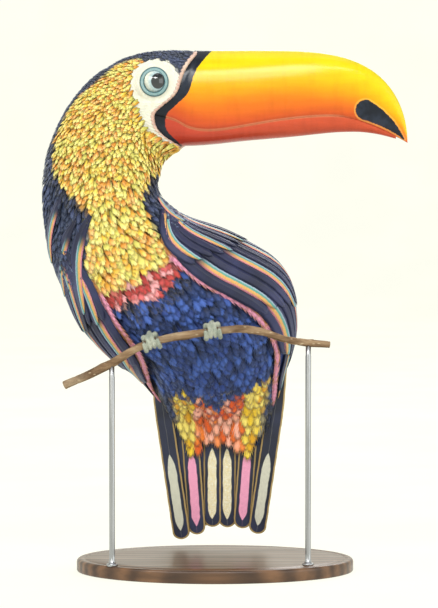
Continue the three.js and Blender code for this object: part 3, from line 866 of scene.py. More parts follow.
def folds(points, marks):
    """Height in mm of the bare skin's folds: rings round the eye that break up, and the rim's lobes."""
    x, _, z = points.T
    away = eye_distance(points)
    turn = np.arctan2(z - EYE_AT["left"][2], x - EYE_AT["left"][0])
    wander = 1.3 * np.sin(3 * turn + 0.6) + 0.8 * np.sin(7 * turn + 2.0) + 0.5 * np.sin(13 * turn)
    rings = np.sin((away + wander) * 2.6) + 0.5 * np.sin((away - 1.6 * wander) * 4.3 + 5 * turn)
    folded = 0.13 * rings * smooth(13.0, 14.5, away) * marks["face"]
    behind = behind_base(x, z)
    across = behind / (rim_width(z) + SCALLOP * scallops(z))
    lobe = np.sqrt(np.clip(1 - (2 * np.clip(across, 0, 1) - 1) ** 2, 0, 1))
    return folded + (0.45 + 0.35 * scallops(z)) * lobe * marks["rim"]


def split_bare(piece):
    """Splits the skin's triangles where it is bare, and evens out what was split."""
    bm = bmesh.new()
    bm.from_mesh(piece.data)
    co = np.array([v.co for v in bm.verts]) / MM
    x, _, z = co.T
    bare = (face_depth(x, z) > -2.5) & (z > 364) & (x > -74)
    bare |= (behind_base(x, z) < rim_width(z) + 3.0) & (x < 0)
    bare |= eye_distance(co) < 15
    bare &= z > 358
    edges = [e for e in bm.edges if bare[e.verts[0].index] and bare[e.verts[1].index]]
    known = len(bm.verts)
    bmesh.ops.subdivide_edges(bm, edges=edges, cuts=2, use_grid_fill=True)
    bmesh.ops.triangulate(bm, faces=[f for f in bm.faces if len(f.verts) > 3])
    bm.verts.ensure_lookup_table()
    soft = [v for v in bm.verts if v.index >= known or bare[v.index]]
    for _ in range(4):
        bmesh.ops.smooth_vert(bm, verts=soft, factor=0.5, use_axis_x=True, use_axis_y=True, use_axis_z=True)
    bm.normal_update()
    bm.to_mesh(piece.data)
    bm.free()


def refine_face(piece):
    """Gives the bare skin finer triangles, and shapes its lids, its folds and the rim at the bill's base."""
    split_bare(piece)
    points, normals, _ = mesh_arrays(piece.data)
    marks = marks_at(points, SKIN_GROW)
    points = points + normals * folds(points, marks)[:, None]
    away = eye_distance(points)
    near = (away < 19) & (points[:, 2] > 395)
    ring = np.where(near, away, NO_EYE)
    for side, sign in SIDES.items():
        own = near & ((points[:, 1] - HEAD_Y) * sign > 10)
        r, (px, _, pz) = away[own], points[own].T
        cheek = cheek_surface(side)(px, pz) - sign * 0.3
        middle = (LID["inner"] + LID["outer"]) / 2 + 0.3
        half = (LID["outer"] - LID["inner"]) / 2 + 0.9
        turn = np.arctan2(pz - EYE_AT[side][2], px - EYE_AT[side][0])
        crease = 0.10 * np.sin(34 * turn) + 0.08 * np.sin(21 * turn + 1.0)
        swell = np.sqrt(np.clip(1 - ((r - middle) / half) ** 2, 0, 1))
        height = swell * (LID["high"] + crease) - 5.0 * smooth(LID["inner"] + 0.2, LID["inner"] - 1.2, r)
        shaped = cheek + sign * height
        share = smooth(17.5, 13.5, r)
        points[own, 1] = shaped * share + points[own, 1] * (1 - share)
    piece.data.vertices.foreach_set("co", (points * MM).astype(np.float32).ravel())
    set_attributes(piece.data, {**marks, "eye_ring": ring})
    piece.data.polygons.foreach_set("use_smooth", np.ones(len(piece.data.polygons), bool))
    piece.data.update()
    print("skin triangles", len(piece.data.polygons))


skin = make_skin()
skin_uv = unwrap(skin)
refine_face(skin)


def uv_at(places, faces):
    """Where each place on the outer surface lies in the skin's layout."""
    corners = outer[outer_triangles[faces]]
    a, b, c = corners[:, 0], corners[:, 1], corners[:, 2]
    across, other, rel = b - a, c - a, places - a
    d00, d01, d11 = dot(across, across), dot(across, other), dot(other, other)
    d20, d21 = dot(rel, across), dot(rel, other)
    scale = np.maximum(d00 * d11 - d01 * d01, 1e-12)
    v = np.clip((d11 * d20 - d01 * d21) / scale, 0, 1)
    w = np.clip((d00 * d21 - d01 * d20) / scale, 0, 1)
    share = np.stack([np.clip(1 - v - w, 0, 1), v, w], 1)
    return (skin_uv[faces] * share[..., None]).sum(axis=1)


def skin_uv_near(points):
    """The skin's layout at the nearest place to each point."""
    found = [outer_tree.find_nearest(p) for p in points.tolist()]
    return uv_at(np.array([f[0] for f in found]), np.array([f[2] for f in found]))


# ---------------------------------------------------------------- feathers
class Shape:
    """A feather's points as (along, across, height) and its faces, all closed thin blades."""

    def __init__(self):
        self.points, self.faces, self.count = [], [], 0

    def blade(self, rings, tip):
        """A thin blade through rings of equal size, shut by a point at the tip and a face at the root."""
        sides = len(rings[0])
        start = self.count
        for ring in rings:
            self.points += ring
        self.points.append(tip)
        self.count += len(rings) * sides + 1
        last = start + (len(rings) - 1) * sides
        for i in range(len(rings) - 1):
            for k in range(sides):
                a, b = start + i * sides + k, start + i * sides + (k + 1) % sides
                self.faces += [(a, b, b + sides), (a, b + sides, a + sides)]
        for k in range(sides):
            self.faces.append((last + k, last + (k + 1) % sides, self.count - 1))
        for k in range(1, sides - 1):
            self.faces.append((start, start + k + 1, start + k))
        return self

    def arrays(self):
        return np.array(self.points, float), np.array(self.faces, np.int32)


def barb(shape, root, spread, length, width, thick, rise, steps=3):
    """One lock of barbs that leaves the shaft at root and ends in a point, bowed outwards."""
    rings = []
    for i in range(steps):
        s = i / steps
        u = root + length * s
        a = spread * (s**0.8)
        w = width * (1 - 0.45 * s * s)
        h = rise * s
        rings.append([(u, a - w, h - 0.4 * thick), (u, a + w, h - 0.4 * thick), (u, a, h + 0.6 * thick)])
    shape.blade(rings, (root + length, spread, rise))


def contour_shape(locks, thick=0.34, camber=0.5):
    """A body feather: a rounded vane whose edge breaks into locks of barbs."""
    shape = Shape()
    rings = []
    for u in (0.0, 0.3, 0.55, 0.75, 0.88):
        w = 0.3 + 0.6 * math.sin(math.pi * min(u + 0.08, 1) ** 0.9) ** 0.7
        t = thick * (1 - 0.5 * u)
        edge = -camber * w * w
        rings.append([(u, -w, edge), (u, 0, -0.45 * t), (u, w, edge), (u, 0, 0.55 * t)])
    shape.blade(rings, (1.0, 0.0, 0.0))
    for i in range(locks):
        side = 2 * i / (locks - 1) - 1
        reach = math.sqrt(1 - 0.8 * side * side)
        barb(shape, 0.42, 0.95 * side, 0.30 + 0.34 * reach, 1.1 / locks, thick * 0.6, -0.25 * abs(side))
    return shape.arrays()


def tuft_shape(locks, thick=0.26, width=0.34):
    """A soft feather of loose locks that fan from one root."""
    shape = Shape()
    for i in range(locks):
        side = 2 * i / (locks - 1) - 1
        length = 0.98 - 0.22 * abs(side) - 0.06 * (i % 2)
        barb(shape, 0.0, 0.9 * side, length, width, thick, -0.2 * abs(side), steps=4)
    return shape.arrays()


def vane_shape(rows, tip_start, tip_power, thick, root=0.3, lead=1.0, notches=0):
    """A long stiff feather with a shaft that stands proud. lead narrows the vane on its leading side."""
    shape = Shape()
    rings = []
    for i in range(rows):
        u = 0.97 * (i / (rows - 1)) ** 0.85
        w = root + (1 - root) * min(1, u / 0.25) ** 0.6
        if u > tip_start:
            w *= max(0.05, 1 - ((u - tip_start) / (1 - tip_start)) ** tip_power) ** 0.5
        t = thick * (1 - 0.55 * u)
        nick = 0.05 if notches and i % notches == notches - 1 and u > 0.4 else 0.0
        ring = []
        for a, h in ((-1, 0.1), (-0.55, 0.3), (-0.08, 0.42), (0, 1.1), (0.08, 0.42), (0.55, 0.3), (1, 0.1)):
            across = a * w * (lead if a < 0 else 1) * (1 - nick * (abs(a) == 1))
            ring.append((u, across, h * t - 0.30 * a * a))
        for a, h in ((0.55, -0.2), (0.0, -0.5), (-0.55, -0.2)):
            ring.append((u, a * w * (lead if a < 0 else 1), h * t - 0.30 * a * a))
        rings.append(ring[::-1])
    return shape.blade(rings, (1.0, 0.0, 0.0)).arrays()


PATCH = 0.003  # the size of one feather in the bake layout


def lay(stations, shape, widths, chance, attributes, root_uv):
    """Copies a feather's shape along every path. Gives points, faces, attributes and the bake layout.

    stations holds, for each feather, its centre line, the normal and side there, and how far the surface
    falls away at its two edges.
    """
    local, faces = shape
    centre, normal, side, drop_left, drop_right = stations
    feathers, count = centre.shape[:2]
    station = np.clip(local[:, 0], 0, 1) * (count - 1)
    i = np.minimum(station.astype(int), count - 2)
    w = (station - i)[None, :, None]
    read = lambda grid: grid[:, i] * (1 - w) + grid[:, i + 1] * w
    flat = lambda grid: grid[:, i] * (1 - w[..., 0]) + grid[:, i + 1] * w[..., 0]
    a = local[None, :, 1]
    drop = a * a * (flat(drop_left) + flat(drop_right)) / 2 + a * (flat(drop_right) - flat(drop_left)) / 2
    past = np.maximum(local[:, 0] - 1, 0)[None, :, None]
    way = unit(centre[:, -1] - centre[:, -2])[:, None]
    length = np.linalg.norm(np.diff(centre, axis=1), axis=-1).sum(axis=1)
    points = (
        read(centre)
        + past * length[:, None, None] * way
        + read(side) * (a * widths[:, None])[..., None]
        + unit(read(normal)) * (drop + local[None, :, 2])[..., None]
    )
    total = len(local)
    all_faces = faces[None] + (np.arange(feathers) * total)[:, None, None]
    feather = np.empty((feathers, total, 3))
    feather[..., 0] = local[None, :, 0]
    feather[..., 1] = local[None, :, 1]
    feather[..., 2] = chance[:, None]
    uv = root_uv[:, None] + PATCH * np.stack([local[:, 1] / 2, local[:, 0] - 0.5], 1)[None]
    spread = {key: np.repeat(value, total) for key, value in attributes.items()}
    spread["feather"] = feather.reshape(-1, 3)
    return points.reshape(-1, 3), all_faces.reshape(-1, 3), spread, uv.reshape(-1, 2)


def paths_over(roots, normals, lengths, depths, proud, turn, widths, count=6, lifted=1.4):
    """Centre lines that start at the skin and rise to the coat's surface as they follow the lie."""
    rows = []
    at, up = roots.copy(), normals.copy()
    cos, sin = np.cos(turn)[:, None], np.sin(turn)[:, None]
    for k in range(count):
        share = k / (count - 1)
        way = lie_at(at)
        way = unit(way - up * dot(way, up)[:, None])
        across = np.cross(up, way)
        way, across = way * cos + across * sin, across * cos - way * sin
        falls = []
        for sign in (-1, 1):
            found, *_ = nearest(outer_tree, at + across * (sign * widths)[:, None])
            falls.append(np.clip(dot(found - at, up), -0.6 * widths, 0.5 * widths))
        lift = -depths * (1 - share) ** lifted + proud * share
        rows.append((at + up * lift[:, None], up, across, *falls))
        if k < count - 1:
            at, up, _ = nearest(outer_tree, at + way * (lengths / (count - 1))[:, None])
    return [np.stack(column, axis=1) for column in zip(*rows)]


def paths_on(surface, root, tip, heights, widths, count=12):
    """Centre lines on a surface(s, v, height) from each root (s, v) to its tip, rising as they go."""
    share = np.linspace(0, 1, count)[None]
    s = root[:, :1] + (tip[:, :1] - root[:, :1]) * share
    v = root[:, 1:] + (tip[:, 1:] - root[:, 1:]) * share
    height = heights[0] + (heights[1] - heights[0]) * share + 0 * s
    centre = surface(s, v, height)
    step = 0.01
    down = surface(s + step, v, height) - surface(s - step, v, height)
    over = surface(s, v + step, height) - surface(s, v - step, height)
    normal = unit(np.cross(over, down))
    inside = body_frame(np.clip(locate(centre.reshape(-1, 3))[0] / STATIONS, 0, 1))[0].reshape(centre.shape)
    normal *= np.sign(dot(normal, centre - inside))[..., None]
    way = unit(np.gradient(centre, axis=1))
    across = np.cross(normal, way)
    pace = np.maximum(np.linalg.norm(over, axis=-1) / (2 * step), 1.0)
    toward = np.sign(dot(across, over))
    falls = []
    for sign in (-1, 1):
        edge = surface(s, v + sign * toward * widths[:, None] / pace, height)
        falls.append(dot(edge - centre, normal))
    return centre, normal, across, falls[0], falls[1]


def scattered(spacing, want):
    """Roots on the outer surface, never closer than spacing there, over the faces that want picks."""
    corners = outer[outer_triangles[want]]
    areas = np.linalg.norm(np.cross(corners[:, 1] - corners[:, 0], corners[:, 2] - corners[:, 0]), axis=1) / 2
    gap = spacing[outer_triangles[want]].mean(axis=1)
    share = areas / gap**2
    picked = rng.choice(len(want), int(share.sum() * 5), p=share / share.sum())
    u, v = rng.random(len(picked)), rng.random(len(picked))
    turned = u + v > 1
    u, v = np.where(turned, 1 - u, u), np.where(turned, 1 - v, v)
    c = corners[picked]
    places = c[:, 0] + (c[:, 1] - c[:, 0]) * u[:, None] + (c[:, 2] - c[:, 0]) * v[:, None]
    tree = KDTree(len(places))
    for i, p in enumerate(places.tolist()):
        tree.insert(p, i)
    tree.balance()
    open_, kept = np.ones(len(places), bool), []
    for i, (p, reach) in enumerate(zip(places.tolist(), gap[picked].tolist())):
        if open_[i]:
            kept.append(i)
            for _, j, _ in tree.find_range(p, reach):
                open_[j] = False
    kept = np.array(kept)
    return places[kept], want[picked[kept]]


CLAWS = [f"claw_{side}_{i}" for side in SIDES for i in (1, 2, 3, 4)]
hard_tree = tree_of(*node_arrays("perch", "foot_left", "foot_right", *CLAWS))


HARD_GAP = 0.5  # mm that feathers keep from the perch and feet
MOST_MOVED = 3.2  # mm that a feather may be moved for it, and no more


def clear_of_hard(points, per_feather):
    """Moves points out of the perch and feet, and says which feathers lie clear of them."""
    moved = points.copy()
    near = (np.abs(points[:, 2] - 195) < 45) & (points[:, 1] < 0)
    push = np.zeros(len(points))
    for i in np.flatnonzero(near):
        found, normal, _, _ = hard_tree.find_nearest(points[i].tolist(), 9.0)
        if found is None:
            continue
        height = dot(points[i] - np.array(found), np.array(normal))
        if height < HARD_GAP:
            moved[i] = np.array(found) + np.array(normal) * HARD_GAP
            push[i] = HARD_GAP - height
    worst = push.reshape(-1, per_feather).max(axis=1)
    return moved, worst < MOST_MOVED


def finish_coat(name, parts, finish, slot):
    """One piece from laid feathers."""
    counts = np.cumsum([0] + [len(part[0]) for part in parts])
    points = np.concatenate([part[0] for part in parts])
    faces = np.concatenate([part[1] + n for part, n in zip(parts, counts)])
    attributes = {key: np.concatenate([part[2][key] for part in parts]) for key in parts[0][2]}
    piece = make(name, points, faces, attributes, np.concatenate([part[3] for part in parts]))
    print(f"{name}: {len(faces)} triangles")
    return place(piece, finish, slot)


def coat(name, shapes, wanted, size, proud, finish, slot, unruly=0.12):
    """One piece of the coat, on the wanted faces. size is each point's spacing, length and half-width."""
    spacing, length, width = size
    roots, faces = scattered(spacing, np.flatnonzero(wanted))
    corner = outer_triangles[faces]
    at = lambda values: values[corner].mean(axis=1)
    normals = unit(outer_normals[corner].mean(axis=1))
    lengths = at(length) * rng.uniform(0.85, 1.15, len(roots))
    widths = at(width) * rng.uniform(0.88, 1.12, len(roots))
    chance = rng.random(len(roots))
    turn = rng.normal(0, unruly, len(roots))
    proud = proud + rng.uniform(-0.25, 0.25, len(roots))
    kind = rng.integers(0, len(shapes), len(roots))
    for _ in range(3):  # feathers that would run over the bare patch are shorter
        tips = roots + lie_at(roots) * lengths[:, None]
        over = (face_depth(tips[:, 0], tips[:, 2]) > 0.5) & (tips[:, 2] > 364)
        lengths = np.where(over, 0.65 * lengths, lengths)
    stations = paths_over(roots, normals, lengths, at(outer_depth), proud, turn, widths)
    marks = marks_at(stations[0][:, 4], -99.0)
    root_uv = uv_at(roots, faces)
    parts = []
    for which, shape in enumerate(shapes):
        rows = np.flatnonzero(kind == which)
        if not len(rows):
            continue
        picked = {key: value[rows] for key, value in marks.items()}
        own = [grid[rows] for grid in stations]
        points, triangles, attributes, uv = lay(own, shape, widths[rows], chance[rows], picked, root_uv[rows])
        per = len(shape[0])
        points, clear = clear_of_hard(points, per)
        keep = np.repeat(clear, per)
        renumber = np.cumsum(keep) - 1
        triangles = renumber[triangles.reshape(len(rows), -1, 3)[clear].reshape(-1, 3)]
        attributes = {key: value[keep] for key, value in attributes.items()}
        parts.append((points[keep], triangles, attributes, uv[keep]))
    return finish_coat(name, parts, finish, slot)


face_marks = {key: value[outer_triangles].mean(axis=1) for key, value in marks_at(outer, -1.2).items()}
face_centre = outer[outer_triangles].mean(axis=1)
on_wing = outer_on_wing[outer_triangles].mean(axis=1) > 0.5
rim_there = face_centre[:, 2] > 361
clear_of_rim = ~(rim_there & (behind_base(*face_centre[:, [0, 2]].T) < rim_width(face_centre[:, 2]) + 0.3))
feathered = clear_of_rim & (face_marks["face"] < 0.5) & ~on_wing
strongest = np.argmax(np.stack([face_marks[m] for m in MARKS]), axis=0)
strength = np.max(np.stack([face_marks[m] for m in MARKS]), axis=0)
kind_of_face = np.where(strength > 0.5, strongest, -1)


def by_height(heights, values):
    return np.interp(outer[:, 2], heights, values)


def marked(*names):
    return np.isin(kind_of_face, [MARKS.index(m) for m in names])


SOFT_SHAPES = [tuft_shape(5), tuft_shape(6), contour_shape(5)]
BODY_SHAPES = [contour_shape(7), contour_shape(6), contour_shape(8)]
FINE_SHAPES = [tuft_shape(4, width=0.42), contour_shape(4)]


LESSER_SHARE = 0.12  # how far down the wing its small coverts reach


def build_coat():
    """The short feathers of head, neck, trunk and shoulders, grown all over the skin."""
    dark = kind_of_face == -1
    high = face_centre[:, 2] > 335  # above the lower neck, where feathers are fine

    gap = by_height([330, 400, 445], [2.9, 2.1, 1.8])
    length = by_height([330, 400, 445], [10.5, 7.5, 5.5])
    width = by_height([330, 400, 445], [2.2, 1.6, 1.4])
    size = (gap, length, width)
    coat("coat_cheeks", FINE_SHAPES, feathered & marked("bib") & high, size, 0.3, SOFT_COAT, "bib", 0.2)
    coat("coat_cap", FINE_SHAPES, feathered & dark & high, size, 0.1, CAP_COAT, "dark_plumage", 0.1)

    gap = by_height([220, 330], [3.9, 3.0])
    length = by_height([220, 330], [17, 12])
    width = by_height([220, 330], [3.5, 2.5])
    size = (gap, length, width)
    coat("coat_bib", SOFT_SHAPES, feathered & marked("bib", "band") & ~high, size, 0.4, SOFT_COAT, "bib", 0.2)

    gap = by_height([100, 160, 250, 330], [3.9, 4.1, 4.1, 3.3])
    length = by_height([100, 160, 250, 330], [19, 20, 19, 14])
    width = by_height([100, 160, 250, 330], [3.7, 3.9, 3.9, 3.0])
    size = (gap, length, width)
    coat("coat_belly", BODY_SHAPES, feathered & marked("belly"), size, 0.3, DARK_COAT, "belly_plumage")
    coat("coat_mantle", BODY_SHAPES, feathered & dark & ~high, size, 0.2, DARK_COAT, "dark_plumage")
    lesser = on_wing & (wing_share(face_centre) < LESSER_SHARE)
    size = (gap * 0.95, length * 0.8, width * 0.9)
    coat("coat_lesser_coverts", BODY_SHAPES, lesser, size, 0.5, DARK_COAT, "dark_plumage", 0.07)


def wing_share(points):
    """How far from shoulder to tip a point of the wing is, 0 to 1."""
    return 1 - locate(points)[0] / SHOULDER_STATION


build_coat()


# ---------------------------------------------------------------- wings
def stripe(n, value, low, high, soft=0.05):
    """1 where value lies between low and high."""
    return n.mul(n.between(value, low - soft, low), n.between(value, high + soft, high))


def wing_material():
    """Stiff navy vanes with coloured edges on some: pink, gold, green and pale blue from the rim inwards."""
    made, n, shader = material(
        "flight_feathers", sheen_weight=0.15, sheen_tint=(0.4, 0.5, 1.0), specular_ior_level=0.35
    )
    along, across, chance = n.feather()
    tone = n.noise(26, 2)
    colour = n.ramp(
        tone,
        (0.3, (0.008, 0.010, 0.026)),
        (0.55, (0.020, 0.024, 0.072)),
        (0.75, (0.045, 0.050, 0.15)),
    )
    colour = n.mix(n.between(n.absolute(across), 0.0, 0.09, 0.6, 0.0), colour, (0.05, 0.055, 0.08))
    bright = n.attribute("bright")
    run = n.mul(n.between(along, 0.16, 0.34), bright)
    ragged = n.plus(across, n.between(n.noise(400, 2), 0.3, 0.7, -0.03, 0.03))
    for low, high, tint in (
        (-1.2, -0.74, (0.80, 0.30, 0.38)),
        (-0.74, -0.34, (0.66, 0.36, 0.11)),
        (-0.34, -0.12, (0.10, 0.33, 0.27)),
        (-0.12, 0.02, (0.28, 0.40, 0.50)),
    ):
        colour = n.mix(n.mul(run, stripe(n, ragged, low, high, 0.03)), colour, tint)
    ridge = barbs(n, along, across, chance, angle=3.0, count=60.0)
    streak = n.noise(700, 2)
    # Painted shade: each flight feather is darker towards its root, where the feathers above overlap it.
    colour = n.times(colour, n.between(along, 0.0, 0.4, 0.6, 1.0))
    colour = barbed(n, colour, ridge, streak, 0.2, 0.82, 1.15)
    dress(n, shader, colour, n.between(streak, 0.2, 0.8, 0.34, 0.50), ridge, 0.00009)
    return made


def edge_material():
    """Narrow down feathers at the wing's front edge, buff with pink tips."""
    made, n, shader = material(
        "wing_edge", sheen_weight=0.2, sheen_tint=(1.0, 0.8, 0.7), specular_ior_level=0.3
    )
    along, across, chance = n.feather()
    buff = n.ramp(chance, (0.0, (0.50, 0.20, 0.05)), (1.0, (0.72, 0.42, 0.12)))
    tip = n.between(n.plus(along, n.mul(chance, 0.5)), 0.75, 1.05)
    colour = n.mix(tip, buff, (0.90, 0.36, 0.55))
    streak = n.noise(600, 2)
    colour = n.times(colour, n.between(streak, 0.2, 0.9, 0.75, 1.15))
    ridge = barbs(n, along, across, chance)
    dress(n, shader, colour, n.between(streak, 0.2, 0.8, 0.6, 0.8), ridge, 0.00008)
    return made


FLIGHT = wing_material()
WING_EDGE = edge_material()
# Each row of the wing's long feathers, from the primaries up: how many, where the first and last lie across
# the wing, how far along it their roots and tips are, and in mm the half-width and the heights of both ends.
WING_KEYS = ("count", "across", "root", "tip", "half", "high")
WING_ROWS = [
    dict(zip(WING_KEYS, row))
    for row in (
        (10, (-0.72, 0.60), (0.52, 0.56), (0.76, 0.95), 6.2, (-1.9, -0.5)),
        (12, (-0.86, 0.92), (0.36, 0.42), (0.62, 0.82), 7.6, (-1.4, 0.0)),
        (14, (-0.90, 0.94), (0.20, 0.26), (0.46, 0.62), 7.0, (-1.1, 0.5)),
        (14, (-0.92, 0.95), (0.03, 0.06), (0.26, 0.36), 6.4, (-0.8, 0.9)),
    )
]
FLIGHT_SHAPES = [
    vane_shape(26, 0.80, 1.8, 0.7, lead=0.85, notches=7),
    vane_shape(24, 0.82, 2.2, 0.65, notches=6),
    vane_shape(18, 0.70, 2.2, 0.6, notches=5),
    vane_shape(14, 0.62, 2.2, 0.55, notches=5),
]

# Long feathers that hang over each wing's start: where root and tip are, how far along the wing and how
# many degrees round from its side, then their heights.
SCAPULARS = {
    "right": [((-0.085, 8), (0.07, 0)), ((-0.02, -30), (0.17, -8)), ((-0.02, -47), (0.23, -38))],
    "left": [((-0.03, -44), (0.15, -20))],
}
SCAPULAR_HIGH = {"right": (-1.8, 1.2), "left": (-1.8, 0.9)}
VANE_TILT = 0.55  # mm by which each feather's front edge rides on its neighbour


def turned_to(stations, over):
    """Centre lines with their side direction turned to agree with this one."""
    if dot(stations[2][:, 3].mean(axis=0), over) < 0:
        stations[2] = -stations[2]
        stations[3], stations[4] = stations[4], stations[3]
    return stations


def lay_vanes(side, stations, shape, widths, chance, bright):
    """Lays long feathers on a wing, their faces turned outwards on either side of the bird."""
    local, faces = shape
    if side > 0:
        faces = faces[:, ::-1]
    return lay(stations, (local, faces), widths, chance, {"bright": bright}, skin_uv_near(stations[0][:, 0]))


def build_scapulars(name, side):
    """The few long feathers with coloured edges that hang over a wing's start."""
    surface = lambda s, degrees, height: flank_point(side, s, degrees, wing_lift(s) + height)
    root, tip = (np.array(ends, float) for ends in zip(*SCAPULARS[name]))
    widths = rng.uniform(5.2, 5.8, len(root))
    stations = list(paths_on(surface, root, tip, SCAPULAR_HIGH[name], widths))
    stations = turned_to(stations, surface(0.1, 10, 0.0) - surface(0.1, -10, 0.0))
    return lay_vanes(side, stations, FLIGHT_SHAPES[3], widths, rng.random(len(root)), np.ones(len(root)))


def build_wing(name, side):
    """A wing's rows of long feathers, its scapulars, and the narrow feathers along its front edge."""
    surface = lambda s, v, height: wing_point(side, s, v, height)
    parts = []
    for row, shape in zip(WING_ROWS, FLIGHT_SHAPES):
        count = row["count"]
        share = np.linspace(0, 1, count)
        spread = lambda pair: pair[0] + (pair[1] - pair[0]) * share
        jitter = rng.uniform(-1, 1, (3, count))
        v = spread(row["across"]) + 0.015 * jitter[0]
        tip_s = spread(row["tip"])
        if row is WING_ROWS[0]:  # the longest primaries are in the middle of the fold
            tip_s = row["tip"][0] + (row["tip"][1] - row["tip"][0]) * np.minimum(1, share / 0.6) ** 0.8
        root = np.stack([spread(row["root"]) + 0.01 * jitter[1], v], 1)
        tip = np.stack([np.minimum(tip_s + 0.008 * jitter[2], 0.995), v * 0.98], 1)
        widths = np.full(count, row["half"]) * rng.uniform(0.95, 1.05, count)
        stations = list(paths_on(surface, root, tip, row["high"], widths))
        stations = turned_to(stations, surface(0.4, 0.5, 0.0) - surface(0.4, -0.5, 0.0))
        stations[3] = stations[3] + VANE_TILT
        stations[4] = stations[4] - VANE_TILT
        every = 3 if count > 10 else 2
        bright = ((np.arange(count) % every == 1) & (v < 0.5)).astype(float)
        parts.append(lay_vanes(side, stations, shape, widths, rng.random(count), bright))
    parts.append(build_scapulars(name, side))
    finish_coat(f"flight_{name}", parts, FLIGHT, "dark_plumage")

    count = 38
    s = np.linspace(0.13, 0.78, count)
    root = np.stack([s, np.full(count, -0.985)], 1)
    tip = np.stack([s + 0.09, np.full(count, -1.03)], 1)
    widths = rng.uniform(2.6, 3.6, count)
    stations = paths_on(surface, root, tip, (-2.0, -1.2), widths, count=6)
    laid = lay(stations, contour_shape(5), widths, rng.random(count), {}, skin_uv_near(stations[0][:, 0]))
    finish_coat(f"wing_edge_{name}", [laid], WING_EDGE, "dark_plumage")


for name, side in SIDES.items():
    build_wing(name, side)


# ---------------------------------------------------------------- tail and its coverts
TAIL_ROOT, TAIL_TIP = np.array((4.0, 36.0, 186.0)), np.array((4.0, 62.0, 22.0))
TAIL_FACING = math.radians(-97)
TAIL_LENGTH = np.linalg.norm(TAIL_TIP - TAIL_ROOT)
tail_up = unit(TAIL_ROOT - TAIL_TIP)
tail_front = np.array((math.cos(TAIL_FACING), math.sin(TAIL_FACING), 0.0))
tail_front = unit(tail_front - tail_up * (tail_front @ tail_up))
tail_left = np.cross(tail_up, tail_front)
# The tail's feathers, in mm and degrees: how far apart and how wide, and what shortens and spreads them.
RECTRIX = {
    "pairs": 5, "step": 6.55, "half": 7.6, "layer": 0.8, "short": 4.5, "splay": 8.0, "middle_short": 7.2
}
# How much longer each pair's feather is than the middle one's: per pair, and per pair squared.
LONGER = {1: (-1.07, 0.61), -1: (4.07, -0.21)}
COVERT_STEP = 27.0  # mm along the tail for one station of the body


def tail_material():
    """Navy vanes edged with gold-buff, some with a soft streak down the middle."""
    made, n, shader = material(
        "tail_feathers", sheen_weight=0.12, sheen_tint=(0.5, 0.6, 1.0), specular_ior_level=0.45
    )
    along, across, chance = n.feather()
    kind = n.attribute("bright")  # 0 plain, 1 cream streak, 2 pink streak, 3 pale grey streak
    tone = n.noise(30, 2)
    colour = n.ramp(tone, (0.3, (0.010, 0.013, 0.026)), (0.7, (0.028, 0.036, 0.085)))
    wander = n.between(n.noise(150, 2), 0.3, 0.7, -0.03, 0.03)
    off = n.absolute(n.plus(across, wander))
    ends = n.mul(n.between(along, 0.55, 0.64), n.between(along, 0.955, 0.89))
    width = n.mul(n.math("POWER", ends, 0.45), 0.5)
    inside = n.between(n.minus(width, off), -0.03, 0.05)
    speck = n.between(n.noise(900, 2), 0.45, 0.6)
    cream = n.mix(speck, (0.80, 0.70, 0.42), (0.88, 0.84, 0.70))
    tints = n.mix(n.between(kind, 1.4, 1.6), cream, (0.86, 0.36, 0.55))
    tints = n.mix(n.between(kind, 2.4, 2.6), tints, (0.62, 0.62, 0.52))
    colour = n.mix(n.mul(inside, n.between(kind, 0.4, 0.6)), colour, tints)
    margin = n.attribute("margin")  # mm from the vane's edge
    colour = n.mix(n.between(margin, 1.5, 1.1), colour, (0.42, 0.29, 0.11))
    ridge = barbs(n, along, across, chance, angle=4.0, count=90.0)
    streak = n.noise(700, 2)
    colour = barbed(n, colour, ridge, streak, 0.2, 0.82, 1.15)
    dress(n, shader, colour, n.between(streak, 0.2, 0.8, 0.38, 0.55), ridge, 0.00009)
    return made


RECTRIX_GRID = (64, 9)  # points along and across each face of a tail feather


def rectrix_outline(pair, side):
    """A tail feather's length, and from root to tip the share of it, the half-width and the mm to the tip."""
    per_pair, per_square = LONGER[side]
    length = TAIL_LENGTH - RECTRIX["middle_short"] + per_pair * pair + per_square * pair**2
    length -= RECTRIX["short"] if pair % 2 else 0
    u = np.sin(np.linspace(0, math.pi / 2, RECTRIX_GRID[0]))  # closer together near the rounded tip
    half = RECTRIX["half"] * (0.62 + 0.38 * smooth(0, 0.35, u))
    round_ = RECTRIX["half"]
    from_tip = (1 - u) * length
    half = half * np.sqrt(np.clip(1 - (1 - np.minimum(from_tip / round_, 1)) ** 2.3, 0, 1))
    return length, u, np.maximum(half, 0.15), from_tip


